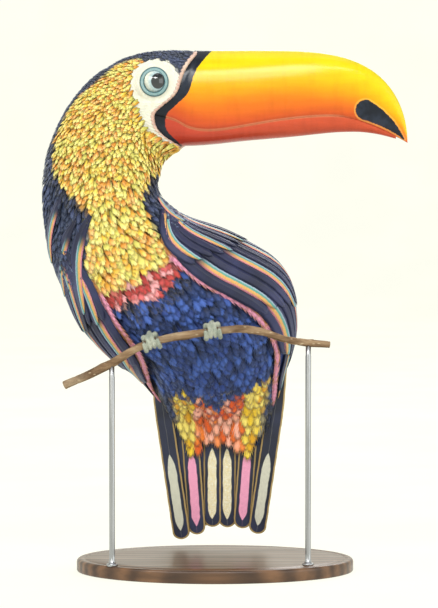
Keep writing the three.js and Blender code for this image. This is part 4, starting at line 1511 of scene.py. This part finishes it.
def rectrix(pair, side):
    """One tail feather: points, faces, attributes and bake layout."""
    rows, cols = RECTRIX_GRID
    length, u, half, from_tip = rectrix_outline(pair, side)
    round_ = RECTRIX["half"]
    a = np.linspace(-1, 1, cols)
    wave = 1 + 0.012 * np.sin(u * 61 + pair) + 0.008 * np.sin(u * 143 + 2 * pair + side)
    # The fan narrows towards its tips, and every second pair lies behind its neighbours.
    splay = side * math.radians(RECTRIX["splay"] * pair / 4)
    offset = side * RECTRIX["step"] * (pair + 1) + length * math.sin(splay)
    layer = RECTRIX["layer"] * (pair - (1.6 if pair % 2 else 0) + (0.4 if side < 0 else 0))
    across = half[:, None] * wave[:, None] * a[None]
    shaft = 0.55 * np.exp(-((a[None] * half[:, None]) ** 2) / 0.7) * (1 - 0.6 * u[:, None])
    cup = -0.35 * a[None] ** 2
    thick = 0.55
    grids = []
    for face in (1, 0):
        high = layer + cup + (shaft * 0.6 if face else -shaft * 0.8 - thick)
        x = offset + across * math.cos(splay) - u[:, None] * length * math.sin(splay)
        z = -u[:, None] * length * math.cos(splay) - across * math.sin(splay)
        out = x[..., None] * tail_left
        grids.append(TAIL_ROOT + out + high[..., None] * tail_front + z[..., None] * tail_up)
    top, under = grids
    points, faces = shell(np.concatenate([top, under[:, ::-1]], axis=1))
    a_ring = np.concatenate([np.tile(a, (rows, 1)), np.tile(a[::-1], (rows, 1))], axis=1)
    u_ring = np.tile(u[:, None], (1, 2 * cols))
    edge = (1 - np.abs(a_ring)) * half[:, None]
    tip_edge = RECTRIX["half"] - np.hypot(a_ring * half[:, None], np.maximum(0, round_ - from_tip)[:, None])
    margin = np.where(from_tip[:, None] < round_, np.minimum(edge + 0.2, np.maximum(tip_edge, 0)), edge)
    ends = lambda grid: np.concatenate([grid.ravel(), [grid[0].mean(), grid[-1].mean()]])
    feather = np.stack([ends(u_ring), ends(a_ring), np.full(len(points), rng.random())], 1)
    bright = {0: 1.0, 2: 2.0, 4: 3.0}.get(pair, 0.0)
    attributes = {
        "feather": feather,
        "margin": ends(margin),
        "bright": np.full(len(points), bright),
    }
    uv = skin_uv_near((TAIL_ROOT + tail_left * offset)[None])[0]
    layout = uv + PATCH * np.stack([feather[:, 1] / 2, feather[:, 0] - 0.5], 1)
    return points, faces[:, ::-1], attributes, layout


def build_tail():
    parts = [rectrix(pair, side) for pair in range(RECTRIX["pairs"]) for side in (1, -1)]
    piece = finish_coat("tail_feathers", parts, tail_material(), "dark_plumage")
    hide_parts("tail")


build_tail()


def covert_point(q, angle, height=0.0):
    """The coverts' surface: q counts stations up from their tips, angle is in degrees from the front."""
    q, angle = np.broadcast_arrays(np.asarray(q, float), np.asarray(angle, float))
    turn = np.radians(angle)
    t = np.clip(q, 0, None) / STATIONS
    centre, front, left, _ = body_frame(t)
    below = np.maximum(-q, 0)
    centre = centre - tail_up * (below * COVERT_STEP)[..., None]
    wide = body_wide(t) + 2.0 * np.exp(-((q - 0.3) ** 2)) + 0.5 * below
    deep = np.where(q < 0, 4.7 + 2.3 * np.exp(-2.2 * below), body_deep(t))
    deep = np.where(np.abs(angle) > 90, np.maximum(deep - 0.5, 2.6), deep)
    out = left * ((wide + height) * np.sin(turn))[..., None]
    return centre + out + front * ((deep + height) * np.cos(turn))[..., None]


def build_coverts():
    """Long soft feathers over the root of the tail, in rows from the tips up, under it and over it."""
    shape = contour_shape(7, thick=0.4, camber=0.6)
    parts = []
    for back in (False, True):
        rows = 9
        for row in range(rows):
            share = row / (rows - 1)
            count = 15 + row
            limit = 96 - 6 * share
            angle = np.linspace(-limit, limit, count) + rng.uniform(-2.5, 2.5, count)
            aside = np.abs(np.sin(np.radians(angle)))
            q_tip = -0.05 - 0.45 * smooth(0.3, 0.6, aside) * (1 - share) + 2.0 * share
            q_tip = q_tip + rng.uniform(-0.06, 0.06, count)
            q_root = q_tip + (1.15 - 0.25 * share) * rng.uniform(0.93, 1.07, count)
            if back:
                angle = angle + 180
            widths = 5.0 * rng.uniform(0.9, 1.1, count)
            root = np.stack([q_root, angle], 1)
            tip = np.stack([q_tip, angle], 1)
            stations = paths_on(covert_point, root, tip, (-2.0 - share, 0.3), widths, count=8)
            seen = stations[0][:, 6]
            marks = {key: np.zeros(count) for key in MARKS}
            behind = smooth(0.25, 0.55, -np.cos(np.radians(angle)))
            marks.update({"rump": behind * smooth(-0.6, 0.2, q_tip)} if back else covert_marks(seen))
            shown = sum(marks.values())
            keep = (shown > 0.2) | (q_root > 1.5) | (np.abs(seen[:, 0] - TAIL_MIDDLE) < 20)
            marks = {key: value[keep] for key, value in marks.items()}
            own = [grid[keep] for grid in stations]
            root_uv = skin_uv_near(own[0][:, 0])
            parts.append(lay(own, shape, widths[keep], rng.random(count)[keep], marks, root_uv))
    finish_coat("coat_tail_coverts", parts, SOFT_COAT, "undertail")


def covert_marks(points):
    """The markings of the coverts under the tail: red in the middle, gold beside it, dark at the flanks."""
    x, _, z = points.T
    aside = np.abs(x - TAIL_MIDDLE)
    reach = np.interp(z, [80, 91, 118, 159], [22, 26, 36, 44])
    middle = smooth(22, 20, aside)
    above = z - 132 - 26 * (1 - np.exp(-aside / 26))  # mm above the point in which the belly ends
    belly = smooth(-1, 1, above)
    gold = smooth(reach + 1.5, reach - 1.5, aside) * (1 - middle)
    rest = 1 - belly
    return {"red": middle * rest, "gold": gold * rest, "belly": belly}


build_coverts()


# ---------------------------------------------------------------- bill
BAND_WIDTH = table(
    [
        (340, 0.6), (361, 0.9), (366, 5.0), (370, 6.2), (378, 7.6), (386, 9.6),
        (393, 10.6), (400, 9.5), (410, 9.2), (425, 8.8), (444, 9.5),
    ]
)
TIP_SPOT = [(127, 392.3, 8.5), (137.5, 387, 6.8), (147.3, 380.3, 4.6), (154.5, 373.8, 2.3), (160, 367.4, 0.3)]


def bill_material():
    """Smooth horn: lemon at the top, orange, then red below, with a blue-black base band and tip spot."""
    made, n, shader = material("bill_horn", coat_weight=0.36, coat_roughness=0.15, specular_ior_level=0.05)
    share, edge, x = n.axes(n.attribute("bill", out="Vector"))
    drift = n.between(n.noise(22, 3, n.stretched(0.25, 1, 1)), 0.3, 0.7, -0.05, 0.05)
    level = n.plus(share, drift)
    upper = n.ramp(
        level,
        (0.0, (0.50, 0.065, 0.020)),
        (0.12, (0.56, 0.088, 0.014)),
        (0.28, (0.68, 0.155, 0.010)),
        (0.48, (0.77, 0.31, 0.004)),
        (0.64, (0.79, 0.43, 0.003)),
        (0.80, (0.77, 0.54, 0.003)),
        (0.93, (0.70, 0.54, 0.008)),
        (1.0, (0.60, 0.49, 0.014)),
    )
    lower_red = n.mix(n.between(x, -30, 90), (0.42, 0.036, 0.020), (0.55, 0.080, 0.024))
    lower = n.ramp(n.mul(level, -1.0), (0.0, (0.55, 0.085, 0.040)), (1.0, (0.38, 0.036, 0.020)))
    lower = n.mix(0.5, lower, lower_red)
    colour = n.mix(n.between(share, -0.001, 0.001), lower, upper)
    # Painted highlight: the upper bill is paler orange along the gape, where its edge would catch the light.
    pale = n.mul(n.between(n.absolute(edge), 1.5, 0.5), n.between(x, 118, 96))
    colour = n.mix(n.mul(pale, 0.7), colour, (0.72, 0.26, 0.13))
    growth = n.noise(60, 4, n.stretched(2.6, 0.5, 0.5), distortion=0.4)
    grain = n.noise(190, 3, n.stretched(0.12, 1, 1))
    colour = n.times(colour, n.between(grain, 0.25, 0.75, 0.93, 1.05))
    colour = n.times(colour, n.between(growth, 0.3, 0.55, 0.93, 1.0))
    black = n.mix(n.between(n.noise(70, 3), 0.45, 0.7), (0.010, 0.013, 0.020), (0.020, 0.027, 0.044))
    rough_edge = n.between(n.noise(420, 2), 0.3, 0.7, -0.25, 0.25)
    spot = n.attribute("spot")
    halo = n.mul(n.between(spot, -1.7, -1.1), n.between(spot, 0.3, -0.2))
    colour = n.mix(n.mul(halo, 0.25), colour, (0.84, 0.66, 0.14))
    for mark in ("band", "spot"):
        deep = n.plus(n.attribute(mark), rough_edge)
        colour = n.mix(n.between(deep, -0.3, 0.3), colour, black)
    scuff = n.noise(150, 4)
    relief = n.plus(n.mul(growth, 0.8), n.mul(grain, 0.4))
    dress(n, shader, colour, n.between(scuff, 0.35, 0.75, 0.20, 0.36), relief, 0.00035, 0.35)
    return made


def bill_heights(x, upper):
    """The Z of a half's edge at x, and how far its ridge or keel is from it."""
    low = tomium(x) + (0.1 if upper else 0.9)
    ridge = np.maximum(culmen(x), tomium(x) + 0.8) if upper else np.minimum(gonys(x), tomium(x) - 0.8)
    return low, ridge - low


def bill_attributes(points, upper):
    """Where points are on the bill, and how deep in the black band at its base and the spot at its tip."""
    x, _, z = points.T
    _, rise = bill_heights(x, upper)
    share = np.clip((z - tomium(x)) / np.maximum(np.abs(rise), 1.0), -1, 1)
    share = np.maximum(share, 0.004) if upper else np.minimum(share, -0.004)
    level = np.clip(z, BASE_LOW, BASE_HIGH)
    return {
        "bill": np.stack([share, z - tomium(x), x], 1),
        "band": BAND_WIDTH(level) - (x - base_x(level)),
        "spot": chain_depth(x, z, TIP_SPOT),
    }


def bill_half(name, upper, finish, slot, node):
    """One mandible: rings from inside the face to the tip, with a toothed edge and faint hollows."""
    rows, arc = 230, 72
    tip = BILL_TIP[0] if upper else LOWER_TIP
    angle = np.linspace(0, math.pi, arc + 1)
    u = np.sin(np.linspace(0, math.pi / 2, rows))[:, None]
    breadth = 1.0 if upper else 0.94
    rise_share = np.sin(angle)[None] ** 0.85
    start = np.full((1, arc + 1), -42.0)
    for _ in range(6):
        low, rise = bill_heights(start, upper)
        start = base_x(np.clip(low + rise * rise_share, BASE_LOW, BASE_HIGH)) - 5.0
    x = start + (tip - start) * u
    low, rise = bill_heights(x, upper)
    width = breadth * bill_half_width(x)
    side = np.cos(angle)[None] * width
    z = low + rise * rise_share
    at_edge = np.exp(-((np.minimum(angle, math.pi - angle)[None] / 0.10) ** 2))
    tooth = np.abs(((x + 0.35 * (x - 60) * 0.1) / 4.6) % 1 - 0.35)
    toothed = smooth(-18, 5, x) * smooth(150, 120, x)
    if upper:
        z = z + at_edge * toothed * (0.9 * tooth - 0.35)
    hollow = np.exp(-(((rise_share - 0.86) / 0.07) ** 2)) * smooth(70, -20, x)
    swell = np.exp(-(((rise_share - 0.35) / 0.2) ** 2)) * smooth(-10, 30, x) * smooth(150, 90, x)
    side = side * (1 - 0.018 * hollow + 0.012 * swell)
    lip = smooth(5.5, 2.5, x - base_x(np.clip(z, BASE_LOW, BASE_HIGH)))
    side = side * (1 + 0.022 * lip)
    rings = np.stack([x, HEAD_Y + side, z], -1)
    floor = np.linspace(-1, 1, 7)[1:-1]
    under_x, under_z = (np.repeat(values[:, :1], len(floor), 1) for values in (x, low))
    under = np.stack([under_x, HEAD_Y + width[:, :1] * floor[None], under_z], -1)
    rings = np.concatenate([rings, under], axis=1)
    points, faces = shell(rings)
    if not upper:
        faces = faces[:, ::-1]
    piece = make(name, points, faces, bill_attributes(points, upper))
    fix_normals(piece)
    return place(piece, finish, slot, node)


def fix_normals(piece):
    """Turns a closed piece's faces outwards."""
    bm = bmesh.new()
    bm.from_mesh(piece.data)
    bmesh.ops.recalc_face_normals(bm, faces=bm.faces)
    bm.to_mesh(piece.data)
    bm.free()


HORN = bill_material()
bill_half("bill_top", True, HORN, "bill_orange", "bill_upper")
bill_half("bill_bottom", False, HORN, "bill_red", "bill_lower")


# ---------------------------------------------------------------- eyes
PUPIL = {"x": 3.1, "z": 0.7, "half_width": 5.6, "half_height": 6.6}  # mm from the eye's middle


def eye_material():
    """A pale iris with fine spokes and a dark rim, a black pupil set forward, and a wet surface."""
    made, n, shader = material(
        "eye_wet", roughness=0.2, coat_weight=1.0, coat_roughness=0.02, coat_ior=1.75, specular_ior_level=0.1
    )
    across, up, _ = n.axes(n.attribute("eye", out="Vector"))
    dx = n.minus(across, PUPIL["x"])
    dz = n.minus(up, PUPIL["z"])
    far = n.distance(n.math("DIVIDE", dx, PUPIL["half_width"]), n.math("DIVIDE", dz, PUPIL["half_height"]))
    turn = n.math("ARCTAN2", dz, dx)
    round_pupil = n.add("CombineXYZ", {0: n.mul(turn, 6.0), 1: n.mul(far, 0.9)})
    spokes = n.noise(2.2, 3, round_pupil)
    iris = n.mix(n.between(far, 1.0, 1.9), (0.36, 0.50, 0.54), (0.82, 0.82, 0.68))
    iris = n.times(iris, n.between(spokes, 0.3, 0.7, 0.78, 1.08))
    iris = n.mix(n.between(n.distance(across, up), 8.2, 9.3), iris, (0.05, 0.14, 0.16))
    colour = n.mix(n.between(far, 0.95, 1.05), (0.003, 0.007, 0.011), iris)
    n.feed(colour, shader.inputs["Base Color"])
    return made


def build_eye(name, side, finish):
    """A ball with a slight bulge at the cornea, which faces straight out to the side."""
    rings, sides = 48, 64
    polar = np.linspace(0.02, math.pi - 0.02, rings)
    turn = circle(sides)
    radius = EYE_RADIUS + 0.12 * np.exp(-((polar / 0.6) ** 2))
    ring_x = (radius * np.sin(polar))[:, None] * np.cos(turn)[None]
    ring_z = (radius * np.sin(polar))[:, None] * np.sin(turn)[None]
    ring_y = side * (radius * np.cos(polar))[:, None] + 0 * ring_x
    rings_ = EYE_AT[name] + np.stack([ring_x, ring_y, ring_z], -1)
    points, faces = shell(rings_)
    local = points - EYE_AT[name]
    piece = make(f"eyeball_{name}", points, faces, {"eye": local[:, [0, 2, 1]]})
    fix_normals(piece)
    place(piece, finish, "eye", f"eye_{name}")


EYE = eye_material()
for name, side in SIDES.items():
    build_eye(name, side, EYE)


# ---------------------------------------------------------------- perch, feet and stand
PERCH = [
    (-126, -45, 162), (-92, -48, 177.5), (-54, -50, 198), (-2, -51, 207.5), (30, -49, 209),
    (64, -46, 199.5), (96, -43, 196),
]
PERCH_RADII = [3.6, 3.5, 3.3, 3.2, 3.1, 3.0, 2.9]
PERCH_LENGTH = 235  # mm
perch_curve, perch_radius = varying(PERCH), varying(PERCH_RADII)
FEET_X = {"right": -53, "left": -2}
TOE_RADIUS, TOE_SPREAD = 1.85, 1.85
TOES = [
    {"fore": 1, "across": -1, "from": -25, "to": 150, "claw": 222},
    {"fore": 1, "across": 1, "from": -25, "to": 144, "claw": 214},
    {"fore": -1, "across": -3, "from": -25, "to": 286, "claw": 309},
    {"fore": -1, "across": 3, "from": -25, "to": 290, "claw": 312},
]


def bark_material():
    made, n, shader = material("bark", specular_ior_level=0.25)
    grain = n.noise(150, 5, n.stretched(0.16, 1, 1), distortion=0.5)
    patch = n.noise(35, 3)
    colour = n.ramp(
        grain,
        (0.3, (0.08, 0.045, 0.024)),
        (0.5, (0.22, 0.137, 0.075)),
        (0.72, (0.40, 0.285, 0.17)),
    )
    colour = n.mix(n.between(patch, 0.5, 0.75, 0.0, 0.5), colour, (0.42, 0.34, 0.24))
    pores = n.add("TexVoronoi", {"Vector": n.stretched(140, 330, 330), "Scale": 1.0}, feature="F1")
    colour = n.mix(n.between(pores, 0.25, 0.12, 0.0, 0.6), colour, (0.52, 0.42, 0.28))
    cut = n.attribute("cut")
    rings = n.math("SINE", n.mul(n.attribute("cut_radius"), 7.0))
    wood = n.mix(n.between(rings, -1, 1), (0.48, 0.31, 0.16), (0.66, 0.48, 0.28))
    dress(n, shader, n.mix(cut, colour, wood), n.between(grain, 0.3, 0.7, 0.9, 0.7), grain, 0.0012, 0.9)
    return made


def build_perch():
    """A cut length of branch, its bark ridged and knotted, with its end grain bare."""
    rows, sides = 420, 72
    steps = np.linspace(0, 1, rows)
    places, ways = along_path(PERCH, rows)
    radius = perch_radius(steps)
    fore = unit(np.array((0.0, -1.0, 0.0)) + ways * ways[:, 1:2])
    up = np.cross(fore, ways)
    angle = circle(sides)[None]
    run = (steps * PERCH_LENGTH)[:, None]
    ridge = 0.11 * np.sin(9 * angle + 1.6 * np.sin(run / 11))
    ridge = ridge + 0.08 * np.sin(17 * angle - 1.2 * np.sin(run / 7 + 2))
    lump = 0.16 * np.sin(run / 9 + 2 * angle) + 0.12 * np.sin(run / 4.3 + 1.0 - angle)
    knots = 0
    for at, turn, high in ((38, 0.9, 1.1), (100, 4.4, 0.7), (176, 0.4, 0.9), (214, 2.4, 1.2)):
        bend = (angle - turn + math.pi) % (2 * math.pi) - math.pi
        knots = knots + high * np.exp(-(((run - at) / 3.2) ** 2) - (bend / 0.7) ** 2)
        knots = knots - 0.5 * high * np.exp(-(((run - at) / 1.5) ** 2) - (bend / 0.22) ** 2)
    scars = -0.22 * np.exp(-(((run % 31) - 15) / 0.8) ** 2)
    feet = sum(np.exp(-(((places[:, 0] - x) / 11.0) ** 2))[:, None] for x in FEET_X.values())
    reach = radius[:, None] + (ridge + lump + knots + scars) * (1 - feet) - 0.12
    end = np.minimum(steps, 1 - steps) * PERCH_LENGTH
    reach = reach * np.sqrt(1 - (1 - np.minimum(end / 0.8, 1)) ** 2 * 0.3)[:, None]
    rings = places[:, None] + fore[:, None] * (reach * np.cos(angle))[..., None]
    rings = rings + up[:, None] * (reach * np.sin(angle))[..., None]
    caps = []
    for which, side in ((0, slice(0, 1)), (-1, slice(-1, None))):
        middle = places[side, None]
        inner = [middle + (rings[side] - middle) * share for share in (0.97, 0.75, 0.5, 0.25, 0.05)]
        caps.append(np.concatenate(inner[::-1] if which == 0 else inner))
    rings = np.concatenate([caps[0], rings, caps[1]])
    points, faces = shell(rings)
    cut = np.zeros(rings.shape[:2])
    cut[:5] = cut[-5:] = 1.0
    spread = np.zeros(rings.shape[:2])
    spread[:5] = np.linalg.norm(rings[:5] - places[0], axis=-1)
    spread[-5:] = np.linalg.norm(rings[-5:] - places[-1], axis=-1)
    ends = lambda grid: np.concatenate([grid.ravel(), [1.0, 1.0]])
    piece = make("perch_bark", points, faces, {"cut": ends(cut), "cut_radius": ends(spread)})
    fix_normals(piece)
    place(piece, BARK, "bark", "perch")


def perch_frame(x):
    """Centre, direction, foremost and upper direction of the perch at this X, and its radius there."""
    steps = np.linspace(0, 1, 4001)
    places = perch_curve(steps)
    i = int(np.argmin(np.abs(places[:, 0] - x)))
    along = unit(places[i + 1] - places[i - 1])
    fore = unit(np.array((0.0, -1.0, 0.0)) + along * along[1])
    return places[i], along, fore, np.cross(fore, along), float(perch_radius(steps[i]))


def foot_skin_material():
    made, n, shader = material("foot_skin", specular_ior_level=0.4)
    scales = n.add("TexVoronoi", {"Vector": n.place(), "Scale": 850.0}, feature="DISTANCE_TO_EDGE")
    tone = n.noise(160, 3)
    colour = n.mix(n.between(tone, 0.35, 0.65), (0.34, 0.38, 0.31), (0.55, 0.57, 0.47))
    colour = n.mix(n.between(scales, 0.0, 0.10, 0.75, 0.0), colour, (0.13, 0.17, 0.15))
    dress(n, shader, colour, n.between(tone, 0.3, 0.7, 0.45, 0.62), n.between(scales, 0.0, 0.16), 0.0003, 0.9)
    return made


def claw_material():
    made, n, shader = material("claw_horn", specular_ior_level=0.55, coat_weight=0.3, coat_roughness=0.15)
    grain = n.noise(260, 3, n.stretched(1, 1, 0.3))
    colour = n.ramp(grain, (0.3, (0.045, 0.048, 0.042)), (0.7, (0.17, 0.17, 0.14)))
    dress(n, shader, colour, n.between(grain, 0.3, 0.7, 0.26, 0.42), grain, 0.0001)
    return made


def wrapped(centre, along, fore, up, toe, start, end, reach, count):
    """Points round the perch from one angle to another, measured from its top to the front or the back."""
    share = np.linspace(0, 1, count)
    angle = np.radians(start + (end - start) * share)
    r = reach(share)
    return (
        centre
        + along * (toe["across"] * TOE_SPREAD * (0.85 + 0.2 * np.minimum(1, 2 * share)))[:, None]
        + up * (r * np.cos(angle))[:, None]
        + fore * (toe["fore"] * r * np.sin(angle))[:, None]
    )


def toe_ripple(s, angle):
    """Scutes along a toe's back and pads under its joints."""
    scutes = 0.05 * np.abs(np.sin(s * 15 * math.pi)) ** 0.5
    pads = 0.07 * np.sin(s * 3.2 * math.pi + 0.5)
    return 0.97 + scutes + pads + 0 * angle


def build_foot(name):
    centre, along, fore, up, radius = perch_frame(FEET_X[name])
    surface = radius + 0.3
    solids = []
    for i, toe in enumerate(TOES):
        skin_reach = lambda s: surface + TOE_RADIUS * (1.2 - 0.3 * s)
        path = wrapped(centre, along, fore, up, toe, toe["from"], toe["to"], skin_reach, 19)
        radii = TOE_RADIUS * np.array([1.1, 1.12, 1.05, 1.0, 0.86])
        solids.append(tube(path, radii, 80, 28, ripple=toe_ripple, across=along))
        claw_reach = lambda s: surface + TOE_RADIUS * (0.78 + 0.75 * s * s)
        path = wrapped(centre, along, fore, up, toe, toe["to"] - 9, toe["claw"], claw_reach, 7)
        claw = tube(path, TOE_RADIUS * np.array([0.60, 0.52, 0.32, 0.07]), 30, 18, flat=1.1, across=along)
        piece = make(f"talon_{name}_{i + 1}", *claw)
        fix_normals(piece)
        place(piece, CLAW, "claw", f"claw_{name}_{i + 1}")
    ankle = centre + up * (surface + TOE_RADIUS * 1.1)
    offsets = [(0, -1, -0.6), (0, 3, 0.2), (0, 7, 3), (0, 12, 9), (0, 18, 17)]
    shin_ripple = lambda s, angle: 1 + 0.05 * np.abs(np.sin(s * 9 * math.pi)) ** 0.5 + 0 * angle
    shin = [ankle + np.array(offset) for offset in offsets]
    shin_radii = TOE_RADIUS * np.array([1.1, 1.3, 1.15, 1.1, 1.1])
    solids.append(tube(shin, shin_radii, 50, 28, ripple=shin_ripple, across=along))
    points, _, triangles = melted("foot", solids, 0.34, 1)
    piece = make(f"foot_scaled_{name}", points, triangles)
    place(piece, FOOT, "foot_skin", f"foot_{name}")


def wood_material():
    made, n, shader = material("base_wood", coat_weight=0.25, coat_roughness=0.25, specular_ior_level=0.4)
    inputs = {"Vector": n.stretched(2.0, 26, 10), "Scale": 1.1, "Distortion": 5.0, "Detail": 3.0}
    rings = n.add("TexWave", inputs, wave_type="BANDS", bands_direction="Y", out=1)
    pores = n.noise(160, 4, n.stretched(0.05, 1, 1))
    colour = n.mix(rings, (0.060, 0.028, 0.014), (0.16, 0.078, 0.036))
    colour = n.times(colour, n.between(pores, 0.3, 0.7, 0.7, 1.15))
    dress(n, shader, colour, n.between(pores, 0.3, 0.7, 0.42, 0.30), pores, 0.0002, 0.4)
    return made


def steel_material():
    made, n, shader = material("rod_steel", metallic=1.0)
    brushed = n.noise(900, 3, n.stretched(1, 1, 0.02))
    colour = n.ramp(brushed, (0.2, (0.30, 0.31, 0.33)), (0.8, (0.48, 0.49, 0.51)))
    dress(n, shader, colour, n.between(brushed, 0.2, 0.8, 0.24, 0.42))
    return made


def build_stand():
    """An oval base with an eased edge, and two rods, each in a small collar, that carry the perch."""
    low, high = (np.array(corner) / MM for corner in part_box("stand_base"))
    half_x, half_y, height = (high[0] - low[0]) / 2, (high[1] - low[1]) / 2, high[2]
    edge = 3.0
    outline = [(half_x - 2.0, 0.0), (half_x - 0.6, 0.4), (half_x, 1.4), (half_x, height - edge)]
    turns = np.linspace(0.2, math.pi / 2, 7)
    outline += [(half_x - edge + edge * math.cos(a), height - edge + edge * math.sin(a)) for a in turns]
    flat = half_x - edge
    outline += [(flat - 3, height), (flat - 3.8, height - 0.5), (flat - 4.6, height)]
    outline += [(half_x * f, height) for f in (0.8, 0.5, 0.2)]
    rings = lathe(outline, 192)
    rings[..., 1] = rings[..., 1] * half_y / half_x
    piece = make("stand_base_board", *shell(rings))
    fix_normals(piece)
    place(piece, WOOD, "base_wood", "stand_base")
    for name in SIDES:
        low, high = (np.array(corner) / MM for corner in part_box(f"stand_rod_{name}"))
        x, y = (low[0] + high[0]) / 2, (low[1] + high[1]) / 2
        radius = (high[0] - low[0]) / 2
        outline = [(radius * 2.0, height - 0.4), (radius * 2.0, height + 1.2), (radius * 1.85, height + 1.8)]
        outline += [(radius * 1.25, height + 2.2), (radius * 1.15, height + 4.0), (radius, height + 4.4)]
        outline += [(radius, height + 10), (radius, high[2] - 9)]
        outline += [(radius * 0.93, high[2] - 8.6), (radius * 0.93, high[2])]
        piece = make(f"stand_post_{name}", *shell(lathe(outline, 48, x, y)))
        fix_normals(piece)
        place(piece, STEEL, "rod_steel", f"stand_rod_{name}")


BARK, FOOT, CLAW, WOOD, STEEL = (
    bark_material(),
    foot_skin_material(),
    claw_material(),
    wood_material(),
    steel_material(),
)
build_perch()
for name in FEET_X:
    build_foot(name)
build_stand()


# ---------------------------------------------------------------- stage, lights and camera
CAMERA = {"distance": 2.4, "elevation": 3.0, "at": (0.0034, 0.0, 0.2278), "view_height": 0.5168}


def make_camera():
    data = bpy.data.cameras.new("camera")
    camera = new_object("camera", data)
    tilt = math.radians(CAMERA["elevation"])
    target = Vector(CAMERA["at"])
    back = Vector((0, -math.cos(tilt), math.sin(tilt)))
    camera.location = target + back * CAMERA["distance"]
    camera.rotation_euler = (-back).to_track_quat("-Z", "Y").to_euler()
    data.sensor_width = 36
    data.lens = data.sensor_width * CAMERA["distance"] / CAMERA["view_height"]
    data.clip_start, data.clip_end = 0.05, 50
    bpy.context.scene.camera = camera


def make_stage():
    """A pale floor that curves up into a backdrop on every side."""
    made, n, shader = material(
        "paper_backdrop", roughness=0.9, specular_ior_level=0.1, emission_strength=0.90
    )
    tone = n.between(n.noise(6, 2), 0.3, 0.7)
    n.feed(n.mix(tone, (0.13, 0.13, 0.115), (0.15, 0.15, 0.13)), shader.inputs["Base Color"])
    n.feed(n.mix(tone, (0.97, 0.97, 0.865), (1.0, 1.0, 0.88)), shader.inputs["Emission Color"])
    radius, bend, top = 3.4, 0.9, 3.5
    outline = [(radius * s, 0.0) for s in (0.001, 0.2, 0.5, 0.8, 1.0)]
    outline += [
        (radius + bend * math.sin(a), bend - bend * math.cos(a)) for a in np.linspace(0, math.pi / 2, 13)[1:]
    ]
    outline.append((radius + bend, top))
    points, faces = shell(lathe(outline, 96) / MM, close=False)
    floor = make("floor", points[:-2], faces)
    floor.data.materials.append(made)


def area_light(name, at, aim, size, power, colour=(1, 1, 1)):
    data = bpy.data.lights.new(name, "AREA")
    data.shape = "RECTANGLE"
    data.size, data.size_y = size
    data.energy = power
    data.color = colour
    light = new_object(name, data)
    light.location = at
    light.rotation_euler = (Vector(aim) - Vector(at)).to_track_quat("-Z", "Y").to_euler()


def make_lights():
    middle = (0, 0, 0.28)
    area_light("key", (-1.3, -1.7, 1.7), middle, (1.3, 1.3), 19, (1.0, 0.97, 0.92))
    area_light("strip", (0.05, -1.5, 1.60), (0.05, 0, 0.42), (1.9, 0.10), 9)
    area_light("eye_light", (0.26, -1.5, 1.5), (-0.05, 0, 0.4), (0.48, 0.48), 7)
    area_light("fill", (1.9, -1.1, 0.7), middle, (1.4, 1.4), 9, (0.94, 0.97, 1.0))
    area_light("back", (0.6, 1.8, 1.6), middle, (1.4, 0.9), 18)
    area_light("top", (0, 0.1, 2.6), middle, (2.2, 2.2), 16)
    world = bpy.data.worlds.new("studio")
    world.use_nodes = True
    background = world.node_tree.nodes["Background"]
    background.inputs[0].default_value = (1.0, 0.99, 0.95, 1)
    background.inputs[1].default_value = 0.45
    bpy.context.scene.world = world
    bpy.context.scene.view_settings.view_transform = "Standard"


make_camera()
make_stage()
make_lights()
